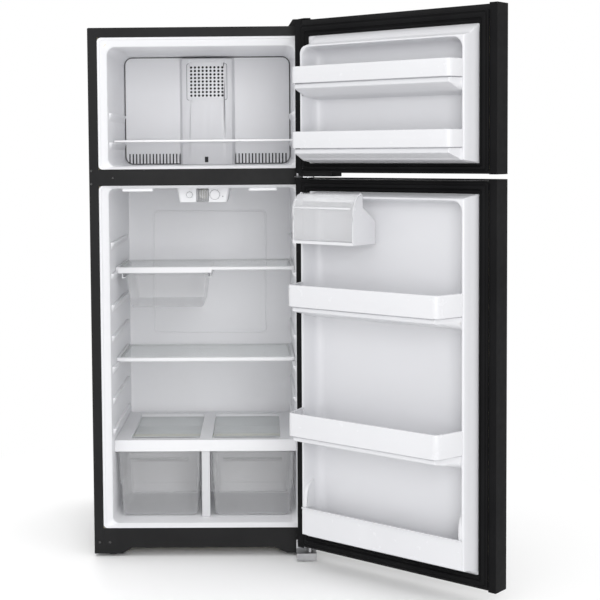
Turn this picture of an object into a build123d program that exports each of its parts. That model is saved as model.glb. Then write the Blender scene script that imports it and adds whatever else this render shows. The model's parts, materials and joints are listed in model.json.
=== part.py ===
from build123d import *
import os

# A 28 in wide top freezer refrigerator with both doors standing open.
# X runs to the right, Y from the front to the back, Z up.
# Origin: on the floor, under the middle of the cabinet's front face.
# Millimetres. Doors are drawn closed and then turned about their hinge line.

# ---------------------------------------------------------------- driving sizes
CASE_W = 711.0
CASE_D = 713.0
CASE_TOP = 1686.0
CASE_FOOT = 9.5
SHEET = 1.0
FLANGE_W = 30.0
LINER_T = 2.0

FREEZER_Z = (1241.5, 1655.5)
FREEZER_IN = (1250.0, 1627.0)
FRESH_Z = (92.0, 1189.5)
FRESH_IN = (102.0, 1180.0)
OPENING_X = 325.5
INSIDE_X = 297.0
BACK_X = 291.0
RIM_DEPTH = 25.0
LINER_BACK = 585.0
OPENING_R = 12.0

HUMP_TOP = 300.0
HUMP_FRONT = (420.0, 450.0)
MACHINE_FRONT = 500.0
MACHINE_TOP = 250.0

HINGE_X = 333.8
HINGE_Y = -46.8
DOOR_ANGLE = 140.0
DOOR_BACK = -13.0
DOOR_SIDE_FRONT = -80.0
DOOR_CROWN = -84.0
DOOR_EDGE_R = 12.0
SKIN_RETURN = 24.4
PIN_R = 4.0
PIN_GAP = 0.05

FREEZER_DOOR_Z = (1226.5, 1701.0)
FRIDGE_DOOR_Z = (46.5, 1212.5)
CAP_INSET = 4.0
CAP_T = 3.0

SHELF_FRONT = 165.0
SHELF_BACK = 487.0
SHELF_HALF = 294.0
SHELF_HALF_BACK = 290.5
UPPER_SHELF_TOP = 917.0
LOWER_SHELF_TOP = 616.5
FRESH_RIB_TOPS = (401.0, 501.5, 602.5, 703.5, 804.0, 905.0, 1006.0)
FREEZER_RIB_TOPS = (1327.5, 1421.0)

LEG_X = 300.0
LEG_Y = 42.0
LEG_R = 6.0
ROLLER_X = 290.0
ROLLER_Y = 670.0
ROLLER_R = 16.0
AXLE_R = 4.0

GLAND_X = -40.0
GLAND_Z = 90.0
GLAND_R = 9.0
CORD_R = 4.2

SWITCH_Y = 40.0
SWITCH_Z = 1110.0
SWITCH_R = 4.0
SWITCH_PROUD = 6.4
SWITCH_GAP = 0.3
SWITCH_BACK = 14.0
SWITCH_TRAVEL = 5.0

half = CASE_W / 2


# ---------------------------------------------------------------- shape helpers
def block(x0, x1, y0, y1, z0, z1):
    """A box between two corners."""
    return Pos((x0 + x1) / 2, (y0 + y1) / 2, (z0 + z1) / 2) * Box(x1 - x0, y1 - y0, z1 - z0)


def bar(start, end, radius):
    """A round bar from one point to another."""
    a = Vector(*start)
    b = Vector(*end)
    line = b - a
    place = (Align.CENTER, Align.CENTER, Align.MIN)
    return Plane(origin=a, z_dir=line) * Cylinder(radius, line.length, align=place)


def front_section(y, x0, x1, z0, z1, latch_r, hinge_r=None):
    """An upright rectangle facing the front, with its own corner radius on each side."""
    plane = Plane(origin=((x0 + x1) / 2, y, (z0 + z1) / 2), x_dir=(1, 0, 0), z_dir=(0, -1, 0))
    sheet = Rectangle(x1 - x0, z1 - z0)
    columns = sheet.vertices().group_by(Axis.X)
    sheet = fillet(columns[0], latch_r)
    columns = sheet.vertices().group_by(Axis.X)
    return plane * fillet(columns[-1], hinge_r or latch_r)


def front_tub(*sections):
    """A straight-sided solid through upright sections."""
    return loft([front_section(*s) for s in sections], ruled=True)


def flat_section(z, x0, x1, y0, y1, r):
    """A level rounded rectangle."""
    return Pos((x0 + x1) / 2, (y0 + y1) / 2, z) * RectangleRounded(x1 - x0, y1 - y0, r)


def flat_tub(*sections):
    """A straight-sided solid through level sections."""
    return loft([flat_section(*s) for s in sections], ruled=True)


def side_prism(x0, x1, points):
    """A prism along X whose outline is given as (y, z) points."""
    face = make_face(Polyline(*[(x0, y, z) for y, z in points], close=True))
    return extrude(face, amount=x1 - x0, dir=(1, 0, 0))


def front_prism(y0, y1, points):
    """A prism along Y whose outline is given as (x, z) points."""
    face = make_face(Polyline(*[(x, y0, z) for x, z in points], close=True))
    return extrude(face, amount=y1 - y0, dir=(0, 1, 0))


def tall_prism(z0, z1, points):
    """A prism along Z whose outline is given as (x, y) points."""
    face = make_face(Polyline(*[(x, y, z0) for x, y in points], close=True))
    return extrude(face, amount=z1 - z0, dir=(0, 0, 1))


def mirrored(shape):
    """The shape and its mirror image across the cabinet's middle."""
    return [shape, mirror(shape, about=Plane.YZ)]


def joined(pieces):
    """All pieces fused into one."""
    whole = pieces[0]
    for piece in pieces[1:]:
        whole = whole + piece
    return whole


def grouped(pieces):
    """Separate solids kept together in one node."""
    return Compound(children=[s for p in pieces for s in p.solids()])


def save(node, shape):
    export_step(shape, f"parts/{node}.step")


# ---------------------------------------------------------------- cabinet body
def freezer_space(t=0.0):
    """The freezer compartment's hollow, grown by t on every side but the front."""
    z0, z1 = FREEZER_Z
    a, b = FREEZER_IN
    return front_tub(
        (SHEET, -OPENING_X - t, OPENING_X + t, z0 - t, z1 + t, OPENING_R + t),
        (RIM_DEPTH, -INSIDE_X - t, INSIDE_X + t, a - t, b + t, 26 + t),
        (LINER_BACK + t, -BACK_X - t, BACK_X + t, a - t, b + t, 30 + t),
    )


def fresh_space(t=0.0):
    """The fresh-food compartment's hollow with the hump over the machine space."""
    z0, z1 = FRESH_Z
    a, b = FRESH_IN
    tub = front_tub(
        (SHEET, -OPENING_X - t, OPENING_X + t, z0 - t, z1 + t, OPENING_R + t),
        (RIM_DEPTH, -INSIDE_X - t, INSIDE_X + t, a - t, b + t, 20 + t),
        (LINER_BACK + t, -BACK_X - t, BACK_X + t, a - t, b + t, 26 + t),
    )
    low, high = HUMP_FRONT
    far = LINER_BACK + 40
    hump = [(low + t, a - 20), (high + t, HUMP_TOP - t), (far, HUMP_TOP - t), (far, a - 20)]
    return tub - side_prism(-half, half, hump)


def shelf_ribs(tops, y0, y1):
    """Wedge ribs on both side walls, level on top, that carry the shelves."""
    ribs = []
    wall = INSIDE_X + 1.0
    for top in tops:
        outline = [(wall, top), (wall - 10, top), (wall - 10, top - 4), (wall, top - 24)]
        ribs += mirrored(front_prism(y0, y1, outline))
    return ribs


def make_cabinet_shell():
    """Top and sides in one bent sheet, with the front flange turned in."""
    outer = block(-half, half, 0, CASE_D, CASE_FOOT, CASE_TOP)
    top_edges = outer.edges().filter_by(Axis.Y).group_by(Axis.Z)[-1]
    outer = fillet(top_edges, 4)
    inner = block(-half + SHEET, half - SHEET, SHEET, CASE_D, 0, CASE_TOP - SHEET)
    inner = fillet(inner.edges().filter_by(Axis.Y).group_by(Axis.Z)[-1], 3)
    window = block(-OPENING_X, OPENING_X, 0, SHEET, 0, FREEZER_Z[1])
    return outer - inner - window


def make_mullion_rail():
    """Cross rail between the compartments: a face plate with two short returns."""
    z0, z1 = FRESH_Z[1], FREEZER_Z[0]
    plate = block(-OPENING_X, OPENING_X, 0, SHEET, z0, z1)
    lower = block(-OPENING_X + 6, OPENING_X - 6, SHEET, 14, z0 + 2.5, z0 + 4)
    upper = block(-OPENING_X + 6, OPENING_X - 6, SHEET, 14, z1 - 4, z1 - 2.5)
    return plate + lower + upper


def make_toe_grille():
    """Bottom front panel, arched over the floor between its two feet."""
    low = CASE_FOOT
    arch = low + 18.5
    outline = [
        (-OPENING_X, low), (-266, low), (-235, arch), (223, arch), (263, low),
        (OPENING_X, low), (OPENING_X, FRESH_Z[0]), (-OPENING_X, FRESH_Z[0]),
    ]
    face = front_prism(0, 2, outline)
    face = face - block(-half, half, SHEET, 3, FRESH_Z[0] - LINER_T - 0.5, FRESH_Z[0] + 1)
    return face + block(-OPENING_X + 6, OPENING_X - 6, 2, 16, 84, 86)


def make_base_frame():
    """Side rails, front cross tube, rear deck and the rear roller axles."""
    inside = half - SHEET
    rail = block(inside - 26, inside, 20, CASE_D - 4, 12, 14)
    rail = rail + block(inside - 2, inside, 20, CASE_D - 4, 14, 60)
    rails = joined(mirrored(rail))
    cross = block(-inside + 2, inside - 2, LEG_Y - 20, LEG_Y + 20, 30, 70)
    cross = cross - block(-inside, inside, LEG_Y - 18, LEG_Y + 18, 32, 68)
    legs = [bar((x, LEG_Y, 20), (x, LEG_Y, 80), LEG_R + PIN_GAP) for x in (-LEG_X, LEG_X)]
    deck = block(-inside + 2, inside - 2, MACHINE_FRONT - 20, CASE_D - 4, 36, 38)
    tabs = joined(mirrored(block(inside - 26, inside - 2, MACHINE_FRONT - 20, CASE_D - 4, 14, 38)))
    cheeks = []
    for x in (-ROLLER_X - 15, -ROLLER_X + 13, ROLLER_X - 15, ROLLER_X + 13):
        cheeks.append(block(x, x + 2, ROLLER_Y - 12, ROLLER_Y + 12, 8, 37))
    axles = []
    for x in (-ROLLER_X, ROLLER_X):
        axles.append(bar((x - 14, ROLLER_Y, ROLLER_R), (x + 14, ROLLER_Y, ROLLER_R), AXLE_R))
    tabs = tabs - block(-inside, inside, ROLLER_Y - 24, ROLLER_Y + 24, 0, 35)
    frame = joined([rails, cross, deck, tabs] + cheeks + axles)
    return frame - joined(legs)


def make_cabinet_foam():
    """Insulation filling the wrapper around both compartments and over the machine space."""
    body = block(-half + SHEET, half - SHEET, SHEET, CASE_D - SHEET, 86, CASE_TOP - SHEET)
    body = body & block(-half + 4, half - 4, 16, CASE_D - SHEET, 86, CASE_TOP - 4)
    body = body - freezer_space(LINER_T) - fresh_space(LINER_T)
    machine = block(-half, half, MACHINE_FRONT - 4, CASE_D, 0, MACHINE_TOP + 4)
    far = INSIDE_X + SWITCH_BACK + SWITCH_TRAVEL + 3
    switch = block(INSIDE_X - 1, far, SWITCH_Y - 8, SWITCH_Y + 8, SWITCH_Z - 8, SWITCH_Z + 8)
    return body - switch - machine


def make_machine_cover():
    """Back cover of the machine space with two banks of air slots and the cord hole."""
    panel = block(-half + 2, half - 2, CASE_D - 2, CASE_D, 42, MACHINE_TOP + 2)
    slots = []
    for i in range(12):
        z = 70 + 13 * i
        slots.append(block(-300, -140, CASE_D - 5, CASE_D + 3, z, z + 5))
        slots.append(block(60, 300, CASE_D - 5, CASE_D + 3, z, z + 5))
    hole = bar((GLAND_X, CASE_D - 5, GLAND_Z), (GLAND_X, CASE_D + 5, GLAND_Z), GLAND_R)
    return panel - joined(slots) - hole


def make_cord_gland():
    """Rubber grommet where the supply cord leaves the back cover."""
    collar = bar((GLAND_X, CASE_D - 2, GLAND_Z), (GLAND_X, CASE_D, GLAND_Z), GLAND_R - 0.15)
    outside = bar((GLAND_X, CASE_D, GLAND_Z), (GLAND_X, CASE_D + 4, GLAND_Z), GLAND_R + 4)
    inside = bar((GLAND_X, CASE_D - 8, GLAND_Z), (GLAND_X, CASE_D - 2, GLAND_Z), GLAND_R + 3)
    bore = bar((GLAND_X, CASE_D - 10, GLAND_Z), (GLAND_X, CASE_D + 6, GLAND_Z), CORD_R)
    return collar + outside + inside - bore


# ---------------------------------------------------------------- liners
def make_freezer_liner():
    """White freezer liner, 2 mm, with shelf ribs."""
    shell = freezer_space(LINER_T) - freezer_space()
    envelope = freezer_space(LINER_T / 2)
    return joined([shell] + [rib & envelope for rib in shelf_ribs(FREEZER_RIB_TOPS, 60, 470)])


def make_fresh_food_liner():
    """White fresh-food liner, 2 mm, with shelf ribs, ceiling tabs and the switch hole."""
    shell = fresh_space(LINER_T) - fresh_space()
    envelope = fresh_space(LINER_T / 2)
    tabs = [block(x0, x1, 34, 60, 1170, FRESH_IN[1] + 1) for x0, x1 in ((-255, -157), (148, 238))]
    ribs = [rib & envelope for rib in shelf_ribs(FRESH_RIB_TOPS, 62, 496)]
    whole = joined([shell] + ribs + tabs)
    start = (INSIDE_X - 8, SWITCH_Y, SWITCH_Z)
    hole = bar(start, (INSIDE_X + 26, SWITCH_Y, SWITCH_Z), SWITCH_R + SWITCH_GAP)
    return whole - hole


def make_light_switch():
    """Round plunger that the closed door holds in."""
    start = (INSIDE_X - SWITCH_PROUD, SWITCH_Y, SWITCH_Z)
    tip = bar(start, (INSIDE_X + SWITCH_BACK, SWITCH_Y, SWITCH_Z), SWITCH_R)
    return fillet(tip.edges().group_by(Axis.X)[0], 1.0)


# ---------------------------------------------------------------- freezer inside
COVER_Y = 500.0
DUCT_HALF = 97.0
DUCT_FRONT = 458.0
DUCT_TOP = 1618.0
FAN_Z = 1539.0
GRILLE_COUNT = 9
GRILLE_PITCH = (13.6, 12.2)
GRILLE_HOLE = 8.2
SHAFT_R = 2.5
SLOT_PITCH = 11.8
SLOT_COUNT = 16


def duct_face(t):
    """Level outline of the central duct, with a crowned front, shrunk by t."""
    w = DUCT_HALF - t
    edges = [
        Line((-w, COVER_Y + 1), (-w + 10, 474 + t)),
        ThreePointArc((-w + 10, 474 + t), (0, DUCT_FRONT + t), (w - 10, 474 + t)),
        Line((w - 10, 474 + t), (w, COVER_Y + 1)),
        Line((w, COVER_Y + 1), (-w, COVER_Y + 1)),
    ]
    return make_face(edges)


def make_evaporator_cover():
    """Back cover of the freezer: plate, crowned duct, fan grille and return-air slots."""
    z0, z1 = FREEZER_IN
    plate = front_tub(
        (COVER_Y, -BACK_X + 0.3, BACK_X - 0.3, z0 + 0.5, z1 - 0.5, 28),
        (COVER_Y + 2, -BACK_X + 0.3, BACK_X - 0.3, z0 + 0.5, z1 - 0.5, 28),
    )
    duct = extrude(Pos(0, 0, z0 + 0.5) * duct_face(0), amount=DUCT_TOP - z0 - 0.5)
    hollow = extrude(Pos(0, 0, z0 - 2) * duct_face(2.5), amount=DUCT_TOP - z0 - 0.5)
    inner_half = DUCT_HALF - 2.5
    hollow = hollow + block(-inner_half, inner_half, COVER_Y - 0.5, COVER_Y + 3, z0 - 2, DUCT_TOP - 2.5)
    cover = plate + duct - hollow
    cuts = []
    for i in range(GRILLE_COUNT):
        for k in range(GRILLE_COUNT):
            x = (i - 4) * GRILLE_PITCH[0]
            z = FAN_Z + (k - 4) * GRILLE_PITCH[1]
            cuts.append(bar((x, DUCT_FRONT - 4, z), (x, DUCT_FRONT + 14, z), GRILLE_HOLE / 2))
    for i in range(SLOT_COUNT):
        x = 96 + SLOT_PITCH * i
        cuts += mirrored(block(x, x + 4.5, COVER_Y - 1, COVER_Y + 3, z0 + 4, 1288))
    ring = front_tub(
        (DUCT_FRONT - 2, -74, 74, 1471, 1607, 14),
        (DUCT_FRONT + 5, -74, 74, 1471, 1607, 14),
    ) - front_tub(
        (DUCT_FRONT - 3, -70, 70, 1475, 1603, 11),
        (DUCT_FRONT + 6, -70, 70, 1475, 1603, 11),
    )
    outside = extrude(Pos(0, 0, 1460) * duct_face(-1.5), amount=160)
    ring = (ring & outside) - extrude(Pos(0, 0, 1460) * duct_face(1), amount=160)
    return cover - Compound(children=cuts) + ring


def make_evaporator_coil():
    """Finned aluminium coil behind the freezer cover."""
    tube_r = 4.5
    rows = [(520, 1300), (520, 1360), (520, 1420), (556, 1420), (556, 1360), (556, 1300)]
    pieces = [bar((-250, y, z), (250, y, z), tube_r) for y, z in rows]
    for i, (a, b) in enumerate(zip(rows, rows[1:])):
        side = 250 if i % 2 == 0 else -250
        rise = tube_r if a[1] < b[1] else 0
        pieces.append(bar((side, a[0], a[1] - rise), (side, b[0], b[1] + rise), tube_r))
    for i in range(17):
        x = -240 + 30 * i
        pieces.append(block(x - 0.5, x + 0.5, 508, 570, 1280, 1440))
    return joined(pieces)


def make_fan_motor(y0, y1, x, z, back):
    """Fan motor can with a shaft to the front and a bracket to the back."""
    can = bar((x, y0, z), (x, y1, z), 26)
    shaft = bar((x, y0 - 24, z), (x, y0 + 2, z), SHAFT_R)
    bracket = block(x - 8, x + 8, y1 - 2, back, z - 30, z + 30)
    return can + shaft + bracket


def make_fan_blade(y, x, z, radius):
    """Four-bladed fan on its hub."""
    hub = bar((x, y - 8, z), (x, y + 8, z), 14)
    blades = []
    for i in range(4):
        blade = Pos(0, 0, radius / 2 + 5) * Rot(0, 0, 28) * Box(34, 1.6, radius - 10)
        blades.append(Pos(x, y, z) * Rot(0, 90 * i, 0) * blade)
    whole = joined([hub] + blades)
    whole = whole & bar((x, y - 20, z), (x, y + 20, z), radius)
    return whole - bar((x, y - 20, z), (x, y + 20, z), SHAFT_R + PIN_GAP)


def make_freezer_shelf():
    """Coated wire shelf across the freezer."""
    z = FREEZER_RIB_TOPS[0] + 3.5
    x = INSIDE_X - 6.5
    y0, y1 = 150.0, 452.0
    pieces = [bar((-x, y0, z), (x, y0, z), 3.5), bar((-x + 3, y1, z), (x - 3, y1, z), 3.5)]
    pieces += mirrored(bar((x - 4, y0, z), (x - 4, y1, z), 3.2))
    pieces.append(bar((-x + 3, (y0 + y1) / 2, z), (x - 3, (y0 + y1) / 2, z), 3.0))
    count = 23
    for i in range(count):
        wire_x = -264 + 528 * i / (count - 1)
        pieces.append(bar((wire_x, y0, z), (wire_x, y1, z), 1.6))
    return joined(pieces)


# ---------------------------------------------------------------- fresh-food inside
CONTROL_Y = (112.0, 330.0)
CONTROL_Z = (1132.0, 1180.0)
DIAL_Z = 1156.0
DIAL_X = -45.0
KNOB_X = 37.0
LENS_X = (-22.0, 17.0)
STEM_R = 3.0


def control_form(t):
    """Tapered control box under the ceiling, shrunk by t at the sides and below."""
    y0, y1 = CONTROL_Y
    z0, z1 = CONTROL_Z
    return flat_tub(
        (z0 + t, -77 + t, 77 - t, y0 + t, y1 - 14 - t, 8 - t),
        (z1, -86 + t, 86 - t, y0 + t, y1 - t, 8 - t),
    )


def make_control_housing():
    """Control box shell with a gap for the lamp lens and holes for the stems."""
    y0 = CONTROL_Y[0]
    z0, z1 = CONTROL_Z
    lens_gap = block(LENS_X[0] - 0.2, LENS_X[1] + 0.2, y0 - 5, 262, z0 - 5, z1 - 4)
    stems = []
    for x in (DIAL_X, KNOB_X):
        stems.append(bar((x, y0 - 5, DIAL_Z), (x, y0 + 6, DIAL_Z), STEM_R + PIN_GAP))
    return control_form(0) - control_form(2) - lens_gap - joined(stems)


def make_light_lens():
    """Clear ribbed lens filling the gap in the control box."""
    window = block(LENS_X[0], LENS_X[1], CONTROL_Y[0] - 5, 261, CONTROL_Z[0] - 5, CONTROL_Z[1] - 4.5)
    return (control_form(0) - control_form(2)) & window


def make_light_bulb():
    """Appliance lamp with its screw base and socket, lying front to back."""
    glass = Pos(-2, 178, 1157) * Sphere(16) + bar((-2, 178, 1157), (-2, 214, 1157), 11)
    base = bar((-2, 214, 1157), (-2, 240, 1157), 13)
    foot = block(-14, 10, 226, 240, 1157, 1180)
    return glass + base + foot


def make_dial(x, radius, y0):
    """A turning knob with a pointer ridge and its stem."""
    y1 = CONTROL_Y[0] - 0.5
    disc = bar((x, y0, DIAL_Z), (x, y1, DIAL_Z), radius)
    disc = fillet(disc.edges().group_by(Axis.Y)[0], 1.2)
    ridge = block(x - 1.6, x + 1.6, y0 - 2.5, y0 + 1, DIAL_Z - radius * 0.8, DIAL_Z + radius * 0.8)
    return disc + ridge + bar((x, y1 - 1, DIAL_Z), (x, y1 + 10, DIAL_Z), STEM_R)


def shelf_plan(inset, y0, y1, z0, z1):
    """A level slab that narrows to the back with the side walls, inset at both sides."""
    a = SHELF_HALF - inset
    b = SHELF_HALF_BACK - inset
    return tall_prism(z0, z1, [(-a, y0), (a, y0), (b, y1), (-b, y1)])


def make_shelf_frame(top, left_drop, right_drop, split):
    """Moulded frame around a glass pane; the front bar is deeper left of split."""
    outer = shelf_plan(0, SHELF_FRONT + 5, SHELF_BACK, top - 12, top)
    pane = shelf_plan(8, SHELF_FRONT + 12, SHELF_BACK - 4, top - 6, top + 1)
    opening = shelf_plan(16, SHELF_FRONT + 18, SHELF_BACK - 12, top - 20, top)
    clear = SHELF_HALF - 8
    left = block(-clear, split, SHELF_FRONT, SHELF_FRONT + 11, top - left_drop, top)
    right = block(split, clear, SHELF_FRONT, SHELF_FRONT + 11, top - right_drop, top)
    left = fillet(left.edges().filter_by(Axis.X).group_by(Axis.Y)[0], 4)
    right = fillet(right.edges().filter_by(Axis.X).group_by(Axis.Y)[0], 4)
    ends = joined(mirrored(block(clear, SHELF_HALF, SHELF_FRONT + 2, SHELF_FRONT + 11, top - 12, top)))
    return outer - pane - opening + left + right + ends


def make_shelf_pane(top):
    """Tempered glass pane, 4 mm."""
    return shelf_plan(8.5, SHELF_FRONT + 12.5, SHELF_BACK - 4.5, top - 6, top - 2)


PAN_X = (-262.0, 8.0)
PAN_Y = (178.0, 468.0)
PAN_Z = (782.0, 890.0)


def make_pan_rails():
    """Two channel rails for the meat pan, moulded under the upper shelf's left half."""
    z1 = UPPER_SHELF_TOP - 11
    pieces = []
    for side, x in ((-1, PAN_X[0] - 10), (1, PAN_X[1] + 10)):
        web_x = sorted((x, x + side * 2))
        foot_x = sorted((x, x - side * 8))
        web = block(*web_x, SHELF_FRONT + 8, SHELF_BACK - 2, 880, z1)
        foot = block(*foot_x, PAN_Y[0] + 4, SHELF_BACK - 2, 880, 882.5)
        pieces += [web, foot]
    return pieces


def make_meat_pan():
    """Clear drawer with tapered sides and a lip that runs in the rails."""
    x0, x1 = PAN_X
    y0, y1 = PAN_Y
    z0, z1 = PAN_Z
    outer = flat_tub((z0, x0 + 13, x1 - 13, y0 + 6, y1 - 10, 10), (z1, x0, x1, y0, y1, 10))
    inner = flat_tub(
        (z0 + 2.5, x0 + 15.5, x1 - 15.5, y0 + 8.5, y1 - 12.5, 8),
        (z1 + 0.1, x0 + 2.5, x1 - 2.5, y0 + 2.5, y1 - 2.5, 8),
    )
    lip = flat_tub((885, x0 - 8, x1 + 8, y0, y1, 4), (887.5, x0 - 8, x1 + 8, y0, y1, 4))
    return (outer + lip) - inner


COVER_FRONT = 90.0
COVER_BACK = 557.0
COVER_TOP = 357.0
COVER_LOW = 319.0


def make_crisper_cover_frame():
    """White shelf over the crispers with a deep front fascia and two windows."""
    x = INSIDE_X - 1.5
    xb = BACK_X - 1.0
    plan = [(-x, COVER_FRONT), (x, COVER_FRONT), (xb, COVER_BACK), (-xb, COVER_BACK)]
    top = tall_prism(COVER_TOP - 8, COVER_TOP, plan)
    fascia = block(-x, x, COVER_FRONT, COVER_FRONT + 5, COVER_LOW, COVER_TOP)
    fascia = fillet(fascia.edges().filter_by(Axis.X).group_by(Axis.Y)[0], 2)
    windows = []
    for a, b in ((-245, -20), (20, 245)):
        windows.append(block(a, b, COVER_FRONT + 30, 515, COVER_TOP - 20, COVER_TOP + 1))
    rib = block(-14, 14, COVER_FRONT + 5, 420, COVER_TOP - 13, COVER_TOP - 8)
    runners = joined(mirrored(block(x - 8, x - 3, COVER_FRONT + 5, 420, COVER_LOW + 6, COVER_TOP - 8)))
    return joined([top, fascia, rib, runners]) - joined(windows)


def make_crisper_cover_panes():
    """Two clear panes held under the cover's windows."""
    z1 = COVER_TOP - 8
    return [block(a, b, COVER_FRONT + 22, 522, z1 - 3, z1) for a, b in ((-252, -15), (15, 252))]


CRISPER_Z = (103.5, 314.0)
CRISPER_Y = (100.0, 408.0)
CRISPER_X = (18.0, 288.0)


def make_crisper_support():
    """Centre post and web between the crispers, under the cover."""
    top = COVER_TOP - 13
    post = block(-13, 13, 96, 106, FRESH_IN[0], top)
    web = block(-3, 3, 106, 412, FRESH_IN[0], top)
    cap = block(-13, 13, 106, 412, top - 12, top)
    return post + web + cap


def make_crisper(side):
    """Clear drawer, rounded and tapered, with a step, a rim and a front pull lip."""
    x0, x1 = CRISPER_X
    y0, y1 = CRISPER_Y
    z0, z1 = CRISPER_Z
    outer = flat_tub(
        (z0, x0 + 9, x1 - 14, y0 + 5, y1 - 18, 16),
        (212, x0 + 4, x1 - 8, y0 + 2, y1 - 8, 18),
        (216, x0 + 2, x1 - 4, y0, y1 - 4, 18),
        (z1, x0 + 1, x1 - 1, y0, y1, 18),
    )
    inner = flat_tub(
        (z0 + 2.5, x0 + 12, x1 - 17, y0 + 7.5, y1 - 20.5, 14),
        (212, x0 + 6.5, x1 - 10.5, y0 + 4.5, y1 - 10.5, 16),
        (216, x0 + 4.5, x1 - 6.5, y0 + 2.5, y1 - 6.5, 16),
        (z1 + 0.1, x0 + 3.5, x1 - 3.5, y0 + 2.5, y1 - 2.5, 16),
    )
    tub = outer - inner
    pull = block(x0 + 40, x1 - 40, y0 - 5, y0 + 2, z1 - 22, z1 - 18)
    pull = pull + block(x0 + 40, x1 - 40, y0 - 7, y0 - 4, z1 - 28, z1 - 18)
    tub = tub + (pull - inner)
    return tub if side > 0 else mirror(tub, about=Plane.YZ)


# ---------------------------------------------------------------- hinges and feet
TOP_PLATE_Z = 1702.0


def make_top_hinge():
    """Stepped bracket on the case top with the freezer door's upper pin."""
    foot = block(302, 344, 15, 70, CASE_TOP, CASE_TOP + 3)
    riser = block(302, 344, 13, 16, CASE_TOP, TOP_PLATE_Z + 3)
    plan = [(302, 16), (344, 16), (344, -58), (324, -58), (302, -20)]
    arm = tall_prism(TOP_PLATE_Z, TOP_PLATE_Z + 3, plan)
    pin = bar((HINGE_X, HINGE_Y, TOP_PLATE_Z - 26), (HINGE_X, HINGE_Y, TOP_PLATE_Z + 1), PIN_R)
    return foot + riser + arm + pin


def make_top_hinge_cover():
    """Black moulded cap over the bracket's fixed end."""
    outer = flat_tub((CASE_TOP, 276, 354, 6, 84, 8), (CASE_TOP + 22, 290, 350, 8, 76, 8))
    inner = flat_tub((CASE_TOP, 279, 351.5, 9, 81, 6), (CASE_TOP + 20, 292, 348.5, 10.5, 73.5, 6))
    slot = block(301.5, 344.5, 0, 14, TOP_PLATE_Z - 0.5, TOP_PLATE_Z + 3.5)
    return outer - inner - slot


def make_middle_hinge():
    """Plate between the doors with one pin up and one pin down."""
    z = 1213.0
    arm = tall_prism(z, z + 3, [(292, 0), (350, 0), (350, -62), (318, -62), (292, -22)])
    tab = block(300, 350, -2.5, 0, 1208, 1232)
    pin = bar((HINGE_X, HINGE_Y, z - 20), (HINGE_X, HINGE_Y, z + 26), PIN_R)
    return arm + tab + pin


def make_bottom_hinge():
    """Bright formed bracket at the foot with the fridge door's lower pin."""
    top = 27.0
    arm = block(292, 355, -68, 0, top - 3, top)
    skirt = block(292, 355, -68, -65, 5, top) + block(292, 295, -68, 0, 5, top)
    tab = block(297, 354, -3, 0, 5, 54)
    fin = block(292, 295, -8, 0, 5, 54)
    web = block(295, 297, -3, 0, 5, 54)
    pin = bar((HINGE_X, HINGE_Y, top - 1), (HINGE_X, HINGE_Y, 66), PIN_R)
    return arm + skirt + tab + fin + web + pin


def make_hinge_screws():
    """Hexagon-headed screws of the three hinges."""
    top_spots = ((312, 34), (336, 34), (324, 56))
    heads = [bar((x, y, CASE_TOP + 3), (x, y, CASE_TOP + 7), 5) for x, y in top_spots]
    heads += [bar((x, -2.5, 1222), (x, -6, 1222), 4) for x in (310, 342)]
    heads += [bar((x, -3, z), (x, -7, z), 4.5) for x, z in ((308, 40), (344, 40), (326, 16))]
    return grouped(heads)


def make_leg(x):
    """Levelling leg: round pad, hexagon collar and threaded stem."""
    pad = bar((x, LEG_Y, 0), (x, LEG_Y, 7), 17)
    pad = chamfer(pad.edges().group_by(Axis.Z)[-1], 1.5)
    collar = Pos(x, LEG_Y, 7) * extrude(RegularPolygon(10, 6), amount=7)
    return pad + collar + bar((x, LEG_Y, 7), (x, LEG_Y, 78), LEG_R)


def make_roller(x):
    """Rear roller with its bore on the frame's axle."""
    wheel = bar((x - 12, ROLLER_Y, ROLLER_R), (x + 12, ROLLER_Y, ROLLER_R), ROLLER_R)
    wheel = chamfer(wheel.edges().filter_by(GeomType.CIRCLE), 1.5)
    return wheel - bar((x - 13, ROLLER_Y, ROLLER_R), (x + 13, ROLLER_Y, ROLLER_R), AXLE_R + PIN_GAP)


# ---------------------------------------------------------------- machine space
DECK = 38.0


def make_compressor():
    """Welded steel shell on a foot plate with three stub pipes."""
    x, y = -190.0, 612.0
    body = Pos(x, y, DECK + 22) * Cylinder(76, 120, align=(Align.CENTER, Align.CENTER, Align.MIN))
    body = fillet(body.edges().filter_by(GeomType.CIRCLE), 26)
    seam = Pos(x, y, DECK + 84) * Cylinder(79, 6)
    plate = block(x - 88, x + 88, y - 60, y + 60, DECK + 12, DECK + 15)
    post = bar((x, y, DECK + 12), (x, y, DECK + 40), 50)
    feet = [bar((x + i, y + j, DECK), (x + i, y + j, DECK + 13), 12) for i in (-74, 74) for j in (-46, 46)]
    pipes = [bar((x + 60, y, DECK + z), (x + 112, y, DECK + z), 4) for z in (60, 110)]
    pipes.append(bar((x, y + 60, DECK + 100), (x, y + 92, DECK + 100), 4))
    return joined([body, seam, plate, post] + feet + pipes)


def make_condenser_coil():
    """Layered steel coil on the right of the machine space, on two side plates."""
    pieces = []
    levels = [DECK + 60 + 24 * i for i in range(6)]
    for z in levels:
        for y in (540, 580, 620, 660):
            pieces.append(bar((110, y, z), (318, y, z), 3))
    for x in (120, 300):
        pieces.append(block(x, x + 2, 530, 670, DECK, DECK + 190))
    return joined(pieces)


def make_drain_pan():
    """Shallow tray that catches the defrost water under the coil."""
    outer = block(132, 292, 530, 690, DECK, DECK + 40)
    return outer - block(134, 290, 532, 688, DECK + 2, DECK + 41)


def make_condenser_fan_motor():
    """Fan motor on a post, facing the compressor."""
    z = DECK + 90
    can = bar((72, 600, z), (98, 600, z), 24)
    shaft = bar((46, 600, z), (74, 600, z), SHAFT_R)
    post = block(80, 96, 590, 610, DECK, z)
    return can + shaft + post


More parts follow.
